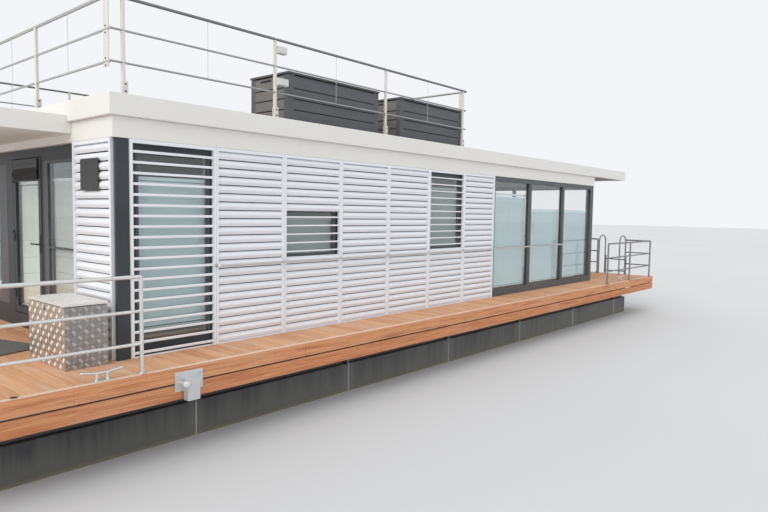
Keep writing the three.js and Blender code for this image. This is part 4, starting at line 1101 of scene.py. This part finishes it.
# Lit and shaded copies of one grey steel: the rails across the ends are painted lighter, as lit,
# and the rails along the sides darker, as painted shade.
top_rail_shaded_steel = satin_steel("top_rail_shaded_steel", (0.19, 0.19, 0.20), (0.29, 0.29, 0.30), 0.36)
long_rail_shaded_steel = satin_steel("long_rail_shaded_steel", (0.36, 0.36, 0.365), (0.48, 0.48, 0.485), 0.36)
cross_rail_lit_steel = satin_steel("cross_rail_lit_steel", (0.50, 0.50, 0.49), (0.64, 0.64, 0.62), 0.36)
long_tubes = Solid()
top_tubes = Solid()
cross_tubes = Solid()
roof_posts = Solid()
rods = Solid()
aft_end, fore_end = ROOF_RAIL_ENDS
for height, radius, cross_radius in ROOF_RAILS:
    for y in (-ROOF_RAIL_LINE, ROOF_RAIL_LINE):
        tube(top_tubes if radius > 0.015 else long_tubes,
             [(aft_end, y, height), (fore_end, y, height)], radius)
    for x in ROOF_RAIL_ENDS:
        tube(cross_tubes, [(x, -ROOF_RAIL_LINE, height), (x, ROOF_RAIL_LINE, height)],
             cross_radius)


def upright(solid, x, y, size, heights, edge=0.003):
    """An upright bar of a size along and across the boat, between two heights."""
    solid.block((x - size[0] / 2, y - size[1] / 2, heights[0]),
                (x + size[0] / 2, y + size[1] / 2, heights[1]), edge)


def roof_post(x, y):
    """A square post with a bolted angle bracket at its foot and a foot plate."""
    upright(roof_posts, x, y, (POST_WIDE, POST_WIDE), (ROOF_FLOOR, top_rail))
    upright(roof_posts, x + 0.010, y, (0.060, 0.046), (ROOF_FLOOR, ROOF_BAND_TOP + 0.15), 0.002)
    upright(roof_posts, x, y, (0.130, 0.100), (ROOF_FLOOR, ROOF_FLOOR + 0.01), 0.002)
    for height in (0.05, 0.12):
        for side in (-1, 1):
            disc(rail_bolts, (x + 0.012, y + side * 0.026, ROOF_BAND_TOP + height), 0.009, 0.010,
                 1, 6)


rail_bolts = Solid()
top_rail = ROOF_RAILS[2][0]
for y in (-ROOF_RAIL_LINE, ROOF_RAIL_LINE):
    for x in ROOF_POSTS:
        roof_post(x - POST_SET_IN, y - math.copysign(POST_SET_IN, y))
for x, y in [(x, y) for x in ROOF_RAIL_ENDS for y in ROOF_CROSS_POSTS]:
    roof_post(x, y)
for x in ROOF_RAIL_ENDS:
    for side in (-1, 1):
        y = side * (ROOF_RAIL_LINE - TIE_SET_IN)
        upright(roof_posts, x, y, TIE, (TIE_FOOT, top_rail), 0.002)
        for height, _, _ in ROOF_RAILS:
            for end in (-0.034, 0.034):
                disc(rail_bolts, (x, y, height + end), 0.009, 0.026, 0, 6)
rod_feet = [((start + end) / 2, y) for start, end in zip(ROOF_POSTS, ROOF_POSTS[1:])
            for y in (-ROOF_RAIL_LINE, ROOF_RAIL_LINE)]
rod_feet += [(x, y) for x in ROOF_RAIL_ENDS for y in ROD_PLACES]
for x, y in rod_feet:
    tube(rods, [(x, y, ROOF_RAILS[0][0]), (x, y, top_rail)], ROD_RADIUS, 8)
long_tubes.piece("roof_rail_long_tubes", "boat", long_rail_shaded_steel, "stainless", ["roof_rail"])
top_tubes.piece("roof_rail_top_tubes", "boat", top_rail_shaded_steel, "stainless")
cross_tubes.piece("roof_rail_cross_tubes", "boat", cross_rail_lit_steel, "stainless")
roof_posts.piece("roof_rail_posts", "boat", post_cream, "stainless")
rail_bolts.piece("roof_rail_bolts", "boat", screw_steel, "stainless")
rods.piece("roof_rail_rods", "boat", cross_rail_lit_steel, "stainless")


# Junction boxes: two pale plastic boxes fixed to one post of the roof rail, one above the
# other, each with its lid.
JUNCTION_BOXES = (((-3.792, -3.0, 4.982), (-3.647, -2.93, 5.069)),
                  ((-3.792, -3.0, 4.594), (-3.622, -2.93, 4.682)))
pale_plastic = mottled("pale_plastic", (0.60, 0.61, 0.59), (0.72, 0.73, 0.71),
                       (14.0, (1, 1, 0.5)), 0.5)
junctions = Solid()
for low, high in JUNCTION_BOXES:
    junctions.block(low, high, 0.004)
    junctions.block((low[0] + 0.008, low[1] - 0.006, low[2] + 0.006),
                    (high[0] - 0.006, low[1] + 0.001, high[2] - 0.006), 0.002)
junctions.piece("junction_boxes", "boat", pale_plastic, "white_paint")


# Grab rail: a slim steel tube at hand height along the near wall, on short brackets with
# square plates, and a ball end at its aft tip.
GRAB_HEIGHT = 2.408
GRAB_LINE = -3.147
GRAB_SPAN = (-4.75, 3.985)
GRAB_BRACKETS = ((-4.75, 0.0), (-3.76, 0.0), (-1.76, 0.0), (0.24, 0.0), (2.62, 0.01),
                 (3.985, 0.01))
WALL_FACE = -3.085


def ball(solid, centre, radius, rings=10, sides=16):
    """A round knob from rings of points between two poles."""
    points = [Vector(centre) - Vector((0, 0, radius))]
    for ring_index in range(1, rings):
        lift = -math.pi / 2 + math.pi * ring_index / rings
        for step in range(sides):
            turn = 2 * math.pi * step / sides
            points.append(Vector(centre) + radius * Vector((
                math.cos(lift) * math.cos(turn), math.cos(lift) * math.sin(turn),
                math.sin(lift))))
    points.append(Vector(centre) + Vector((0, 0, radius)))
    last = len(points) - 1
    faces = [(0, 1 + (i + 1) % sides, 1 + i) for i in range(sides)]
    for ring_index in range(rings - 2):
        start = 1 + ring_index * sides
        faces += [(start + i, start + (i + 1) % sides, start + sides + (i + 1) % sides,
                   start + sides + i) for i in range(sides)]
    faces += [(last, last - sides + i, last - sides + (i + 1) % sides) for i in range(sides)]
    solid.add(points, faces)


# Painted shade: the grab rail takes a darker copy of the satin steel.
grab_shaded_steel = satin_steel("grab_shaded_steel", (0.54, 0.54, 0.54), (0.70, 0.70, 0.70))
grab = Solid()
knobs = Solid()
tube(grab, [(GRAB_SPAN[0], GRAB_LINE, GRAB_HEIGHT), (GRAB_SPAN[1], GRAB_LINE, GRAB_HEIGHT)], 0.0130)
for end in GRAB_SPAN:
    ball(knobs, (end, GRAB_LINE, GRAB_HEIGHT), 0.0178)
for place, setback in GRAB_BRACKETS:
    tube(grab, [(place, GRAB_LINE, GRAB_HEIGHT), (place, WALL_FACE + setback, GRAB_HEIGHT)], 0.011)
    grab.block((place - 0.02, WALL_FACE + setback - 0.006, GRAB_HEIGHT - 0.02),
               (place + 0.02, WALL_FACE + setback - 0.0005, GRAB_HEIGHT + 0.02), 0.002)
grab.piece("grab_rail_tube", "boat", grab_shaded_steel, "stainless", ["grab_rail"])
# Painted highlight: the knobs take a much lighter copy of the satin steel.
knobs.piece("grab_rail_knobs", "boat",
            satin_steel("knob_highlight_steel", (0.80, 0.80, 0.79), (0.92, 0.92, 0.90)), "stainless")


# Swim ladder: two steel hoops over the deck's edge with rungs between them, and a lower part
# that hinges on pins and folds up outboard.
LADDER_STILES = (-2.985, -2.435)
LADDER_INNER = 7.74
LADDER_OUT = 8.16
LADDER_BEND = 2.369
LADDER_RISE = 0.150
LADDER_FOOT = 1.03
LADDER_RUNGS = (1.42, 1.16)
FOLD_HINGE = 1.07
FOLD_OUT = 8.222
FOLD_TOP = 1.97
FOLD_RUNGS = (1.25, 1.556, 1.871)
STAY_START = 8.0003
STAY_HEIGHTS = (1.39, 1.45)


def hoop_route(y):
    centre = (LADDER_INNER + LADDER_OUT) / 2
    reach = (LADDER_OUT - LADDER_INNER) / 2
    arc = [(centre - reach * math.cos(turn), y, LADDER_BEND + LADDER_RISE * math.sin(turn))
           for turn in np.linspace(0, math.pi, 13)]
    return [(LADDER_INNER, y, deck_top), *arc, (LADDER_OUT, y, LADDER_FOOT)]


ladder = Solid()
treads = Solid()
for y in LADDER_STILES:
    tube(ladder, hoop_route(y), 0.016, 16)
    disc(ladder, (LADDER_INNER, y, deck_top + 0.004), 0.042, 0.008, 2, 20)
    ladder.block((STAY_START, y - 0.022, STAY_HEIGHTS[0]),
                 (LADDER_OUT, y + 0.022, STAY_HEIGHTS[1]), 0.002)
    ladder.block((LADDER_OUT - 0.005, y - 0.028, FOLD_HINGE - 0.025),
                 (LADDER_OUT + 0.012, y + 0.028, FOLD_HINGE + 0.025), 0.001)
    for low, high in ((y - 0.028, y - 0.020), (y + 0.020, y + 0.028)):
        ladder.block((LADDER_OUT, low, FOLD_HINGE - 0.025),
                     (FOLD_OUT + 0.02, high, FOLD_HINGE + 0.025), 0.001)
    tube(ladder, [(FOLD_OUT, y - 0.031, FOLD_HINGE), (FOLD_OUT, y + 0.031, FOLD_HINGE)], 0.006)
for height in LADDER_RUNGS:
    tube(ladder, [(LADDER_OUT, LADDER_STILES[0], height),
                  (LADDER_OUT, LADDER_STILES[1], height)], 0.015)
ladder.piece("swim_ladder", "boat", shaded_steel, "stainless", ["ladder"])
fold = Solid()
for y in LADDER_STILES:
    fold.block((FOLD_OUT - 0.014, y - 0.015, FOLD_HINGE + 0.012),
               (FOLD_OUT + 0.014, y + 0.015, FOLD_TOP), 0.004)
    tube(fold, [(FOLD_OUT, y - 0.015, FOLD_HINGE), (FOLD_OUT, y + 0.015, FOLD_HINGE)], 0.014)
for height in FOLD_RUNGS:
    fold.block((FOLD_OUT - 0.012, LADDER_STILES[0], height - 0.013),
               (FOLD_OUT + 0.022, LADDER_STILES[1], height + 0.013), 0.004)
    treads.block((FOLD_OUT - 0.0135, LADDER_STILES[0] + 0.02, height - 0.009),
                 (FOLD_OUT - 0.011, LADDER_STILES[1] - 0.02, height + 0.009), 0.0005)
fold.piece("swim_ladder_fold", "ladder_fold", shaded_steel, "stainless", ["ladder_fold"])
treads.piece("swim_ladder_treads", "ladder_fold", rubber, "stainless")


# Locker: a box of aluminium chequer plate beside the entrance, folded at its corners, with a
# lid of the same plate and a round latch. Raised bars stand in fives, crossing like a weave.
BAR_CELL = 0.052
BAR_LENGTH = 0.046
BAR_WIDTH = 0.0078
BAR_RISE = 0.0030
BARS_IN_CELL = 5
LOCKER_WALL = 0.006
LATCH = (-2.676, 2.058)


def chequer(solid, axis, face, outward, widths, heights, size=1.0):
    """Raised bars on a flat face. The face looks along an axis, and its sides are pairs."""
    one, two = [other for other in range(3) if other != axis]
    length = BAR_LENGTH * size
    shape = ((-0.5, 0, 0), (0, -0.5, 0), (0.5, 0, 0), (0, 0.5, 0), (0, 0, 1))
    columns, rows = [max(1, int((high - low) / (BAR_CELL * size)))
                     for low, high in (widths, heights)]
    for cell in range(columns * rows):
        column, row = divmod(cell, rows)
        centre = (widths[0] + (column + 0.5) * (widths[1] - widths[0]) / columns,
                  heights[0] + (row + 0.5) * (heights[1] - heights[0]) / rows)
        lean = math.pi / 4 if (column + row) % 2 else -math.pi / 4
        ahead = (math.cos(lean), math.sin(lean))
        beside = (-ahead[1], ahead[0])
        for bar in range(BARS_IN_CELL):
            offset = (bar - (BARS_IN_CELL - 1) / 2) * length / BARS_IN_CELL
            points = []
            for long, short, rise in shape:
                point = [0, 0, 0]
                for place, middle, a, b in zip((one, two), centre, ahead, beside):
                    point[place] = (middle + a * long * length * 0.9
                                    + b * (short * BAR_WIDTH * size + offset))
                point[axis] = face + outward * (rise * BAR_RISE - 0.0003 * (1 - rise))
                points.append(point)
            solid.add(points, [(0, 1, 4), (1, 2, 4), (2, 3, 4), (3, 0, 4), (0, 3, 2, 1)])


def chequer_plate(name, tone_low, tone_high, rough=0.24, metallic=1.0):
    paint = Paint(name, Metallic=metallic)
    smear = paint.noise(5.0, detail=4.0)
    fine = paint.noise(90.0, detail=2.0)
    return paint.feed(Base_Color=paint.mix(smear, tone_low, tone_high),
                      Roughness=rough + smear * 0.14 + fine * 0.06)


# Lit and shaded copies of one aluminium plate: the ends and the lid are painted lighter, as lit,
# and the sides darker, as painted shade.
ends_lit_plate = chequer_plate("ends_lit_plate", (0.50, 0.45, 0.41), (0.66, 0.61, 0.56), 0.30)
sides_shaded_plate = chequer_plate("sides_shaded_plate", (0.26, 0.26, 0.255), (0.38, 0.375, 0.365), 0.34, 0.9)
ends_lit_bars = chequer_plate("ends_lit_bars", (0.70, 0.66, 0.61), (0.82, 0.78, 0.73), 0.42, 0.7)
sides_shaded_bars = chequer_plate("sides_shaded_bars", (0.50, 0.50, 0.49), (0.62, 0.62, 0.61), 0.38, 0.8)
lid_lit_plate = chequer_plate("lid_lit_plate", (0.76, 0.75, 0.72), (0.88, 0.87, 0.84), 0.45, 0.5)
box_low, box_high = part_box("locker")
lid_low, lid_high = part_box("locker_lid")
locker_aft = lid_low.x + 0.004


def box_walls(solid, axis, low, high, set_in, thick, inset, heights, edge):
    """Two opposite upright walls of a box, which face along an axis."""
    for start in (low[axis] + set_in, high[axis] - set_in - thick):
        wall_block(solid, axis, (start, start + thick),
                   (low[1 - axis] + inset, high[1 - axis] - inset), heights, edge)


locker_ends = Solid()
locker_sides = Solid()
lengths = (locker_aft, box_high.x)
widths = (box_low.y, box_high.y)
heights = (box_low.z, box_high.z)
shell_low = Vector((locker_aft, box_low.y, box_low.z))
wall_heights = (box_low.z + LOCKER_WALL, box_high.z)
locker_ends.block(shell_low, (box_high.x, box_high.y, wall_heights[0]), 0.0015)
box_walls(locker_ends, 0, shell_low, box_high, 0.0, LOCKER_WALL, 0.0, wall_heights, 0.0015)
box_walls(locker_sides, 1, shell_low, box_high, 0.0, LOCKER_WALL, LOCKER_WALL, wall_heights,
          0.0015)
side_bars = Solid()
end_bars = Solid()
for side, outward in ((box_low.y, -1), (box_high.y, 1)):
    chequer(side_bars, 1, side, outward, lengths, heights)
for end, outward in ((locker_aft, -1), (box_high.x, 1)):
    chequer(end_bars, 0, end, outward, widths, heights, 1.2)
side_bars.piece("locker_side_bars", "boat", sides_shaded_bars, "chequer_plate")
end_bars.piece("locker_end_bars", "boat", ends_lit_bars, "chequer_plate")
locker_ends.piece("locker_ends", "boat", ends_lit_plate, "chequer_plate", ["locker"])
locker_sides.piece("locker_sides", "boat", sides_shaded_plate, "chequer_plate")
latch_ring = Solid()
disc(latch_ring, (locker_aft - 0.0015, *LATCH), 0.023, 0.003, 0, 24)
disc(latch_ring, (locker_aft - 0.0073, *LATCH), 0.004, 0.001, 0, 12)
latch_ring.piece("locker_latch_ring", "boat", rubber, "stainless")
latch = Solid()
disc(latch, (locker_aft - 0.004, *LATCH), 0.016, 0.006, 0, 24)
latch.piece("locker_latch", "boat", steel, "stainless")
dress("locker_lid", lid_lit_plate, 0.003)
lid_top = Solid()
chequer(lid_top, 2, lid_high.z, 1, lengths, widths)
lid_top.piece("locker_lid_bars", "locker_lid", lid_lit_plate, "chequer_plate")


# Roof boxes: two deck boxes of charcoal composite boards between corner posts, each with a
# flat lid that overlaps its rim.
BOX_BOARDS = 5
BOX_LOWER = 0.026
BOX_POST = 0.090
BOX_WALL = 0.022
BOX_SHADE_SHEET = 0.012
BOX_SLOT = 0.014

# The grip slot in the aft face of a box: its span across the boat, and its heights.
BOX_GRIP = ((-2.57, -2.35), (4.722, 4.750))


def box_plastic(name, tones, dust):
    paint = Paint(name, Roughness=0.7, Specular_IOR_Level=0.35)
    grain = paint.noise(1.0, (4, 4, 90), 4.0)
    cloud = paint.noise(1.4)
    tone = paint.mix(grain, *tones)
    tone = paint.mix(cloud.between(0.5, 0.8) * 0.3, tone, dust)
    return paint.feed(Base_Color=tone, Normal=paint.bump(grain, 0.0008, 0.6))


charcoal = box_plastic("charcoal_composite", ((0.092, 0.095, 0.106), (0.145, 0.15, 0.163)),
                       (0.21, 0.21, 0.215))
# Painted light: the end boards take a lighter, warmer copy of the charcoal composite, as lit faces.
lit_end_composite = box_plastic("lit_end_composite_coat", ((0.16, 0.152, 0.143), (0.235, 0.225, 0.213)),
                         (0.29, 0.28, 0.265))
for end in ("aft", "fore"):
    low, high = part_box(f"roof_box_{end}")
    box = Solid()
    ends = Solid()
    painted_shade_sheets = Solid()
    pitch = (high.z - low.z) / BOX_BOARDS
    for board in range(BOX_BOARDS):
        bottom = max(low.z, low.z + board * pitch - BOX_LOWER)
        top = (low.z + (board + 1) * pitch - BOX_SLOT
               - (BOX_LOWER if board < BOX_BOARDS - 1 else 0))
        for axis, walls in ((1, box), (0, ends)):
            box_walls(walls, axis, low, high, 0.003, BOX_WALL, 0.02, (bottom, top), 0.004)
    # Painted shade: black sheets behind the boards stand in for the shaded inside of the box, seen
    # through the slots.
    for axis in (1, 0):
        box_walls(painted_shade_sheets, axis, low, high, 0.006, BOX_SHADE_SHEET, 0.03, (low.z, high.z), 0.001)
    for x in (low.x, high.x - BOX_POST):
        for y in (low.y, high.y - BOX_POST):
            box.block((x, y, low.z), (x + BOX_POST, y + BOX_POST, high.z - 0.001), 0.005)
    box.block((low.x + 0.01, low.y + 0.01, low.z), (high.x - 0.01, high.y - 0.01, low.z + BOX_WALL))
    # Painted shade: a black block on the aft face stands in for the shaded hollow of the grip slot.
    wall_block(painted_shade_sheets, 0, (low.x, low.x + 0.01), *BOX_GRIP)
    box.piece(f"roof_box_boards_{end}", "boat", charcoal, "box_plastic", [f"roof_box_{end}"])
    ends.piece(f"roof_box_ends_{end}", "boat", lit_end_composite, "box_plastic")
    painted_shade_sheets.piece(f"roof_box_painted_shade_{end}", "boat", rubber, "box_plastic")
    dress(f"roof_box_lid_{end}", charcoal, 0.006, 3)


# Entrance mat: a dark ribbed mat of looped fibre. It lies loose and a little askew on the deck
# before the door.
MAT_CENTRE = Vector((-6.664, -1.421))
MAT_SIZE = (0.72, 1.20)
MAT_TURN = math.radians(17)
MAT_THICK = 0.016


def mat_fibre():
    paint = Paint("mat_fibre", Roughness=0.95)
    along, _, _ = paint.axes()
    ribs = abs((along / 0.02).part() - 0.5) * 2
    loops = paint.noise(220.0, detail=2.0)
    tone = paint.mix(loops, (0.10, 0.10, 0.092), (0.19, 0.19, 0.172))
    return paint.feed(Base_Color=tone, Normal=paint.bump(ribs * 0.6 + loops * 0.4, 0.004))


mat = Solid()
mat.block((-MAT_SIZE[0] / 2, -MAT_SIZE[1] / 2, 0), (MAT_SIZE[0] / 2, MAT_SIZE[1] / 2, MAT_THICK),
          0.004)
turn = Matrix.Rotation(MAT_TURN, 3, "Z")
mat.points = [turn @ Vector(point) + Vector((*MAT_CENTRE, deck_top)) for point in mat.points]
mat.piece("entrance_mat", "boat", mat_fibre(), "anthracite")


# Mooring gear: a galvanised bracket with a ball on its face, bolted through the fascia, a dark
# socket let into the deck near its edge, and a polished horn cleat near each corner.
PLATE_FACE = -3.7873
BOLTS_ALONG = (-5.66, -5.415)
BOLTS_UP = (1.305, 1.435)
SOCKET_PLACE = (-7.075, -3.693)
CLEATS = (("aft_near", -6.35, -3.683), ("aft_far", -6.35, 3.683),
          ("fore_near", 6.36, -3.555), ("fore_far", 6.36, 3.555))
CLEAT_HORN = 0.180
CLEAT_WAIST = 0.060
CLEAT_TIP = 0.092
CLEAT_SADDLE = 0.074
CLEAT_BEND = 0.12
BEND_STEPS = 6
zinc = galvanised("galvanised_steel", ((0.62, 0.63, 0.64), (0.78, 0.79, 0.80)),
                  (0.88, 0.88, 0.87), 0.6)
dress("mooring_bracket", zinc, 0.003)
bolts = Solid()
for x in BOLTS_ALONG:
    for z in BOLTS_UP:
        disc(bolts, (x, PLATE_FACE - 0.003, z), 0.017, 0.006, 1, 18)
        disc(bolts, (x, PLATE_FACE - 0.011, z), 0.012, 0.012, 1, 6)
bolts.piece("mooring_bolts", "boat", zinc, "galvanised")
socket = Solid()
disc(socket, (*SOCKET_PLACE, deck_top + 0.001), 0.030, 0.006, 2, 20)
disc(socket, (*SOCKET_PLACE, deck_top + 0.005), 0.010, 0.004, 2, 8)
socket.piece("deck_socket", "boat", screw_steel, "stainless")


def rounded(points, bend):
    """A route whose corners are turned into arcs of a given radius."""
    route = [Vector(points[0])]
    for before, corner, after in zip(points, points[1:], points[2:]):
        corner = Vector(corner)
        back = (Vector(before) - corner).normalized()
        ahead = (Vector(after) - corner).normalized()
        half = back.angle(ahead) / 2
        reach = bend / math.tan(half)
        centre = corner + (back + ahead).normalized() * bend / math.sin(half)
        start = corner + back * reach - centre
        end = corner + ahead * reach - centre
        sweep = start.angle(end)
        for step in range(BEND_STEPS + 1):
            share = step / BEND_STEPS
            spoke = math.sin((1 - share) * sweep) * start + math.sin(share * sweep) * end
            route.append(centre + spoke / math.sin(sweep))
    route.append(Vector(points[-1]))
    return route


for name, x, y in CLEATS:
    cleat = Solid()
    corners = [(x + along, y, deck_top + height) for along, height in (
        (-CLEAT_HORN, CLEAT_TIP), (-CLEAT_WAIST, CLEAT_SADDLE),
        (CLEAT_WAIST, CLEAT_SADDLE), (CLEAT_HORN, CLEAT_TIP))]
    tube(cleat, rounded(corners, CLEAT_BEND), 0.0125)
    for end in (-CLEAT_HORN, CLEAT_HORN):
        ball(cleat, (x + end, y, deck_top + CLEAT_TIP), 0.0128)
    for offset in (-0.045, 0.045):
        tube(cleat, [(x + offset * 1.15, y, deck_top + 0.006), (x + offset, y, deck_top + 0.072)],
             0.015)
    cleat.block((x - 0.09, y - 0.032, deck_top), (x + 0.09, y + 0.032, deck_top + 0.010), 0.003)
    for offset in (-0.075, 0.0, 0.075):
        for side in (0.02, -0.02):
            disc(cleat, (x + offset, y + side, deck_top + 0.0105), 0.005, 0.002, 2, 10)
    cleat.piece(f"cleat_{name}_horns", "boat", steel, "stainless", [f"cleat_{name}"])
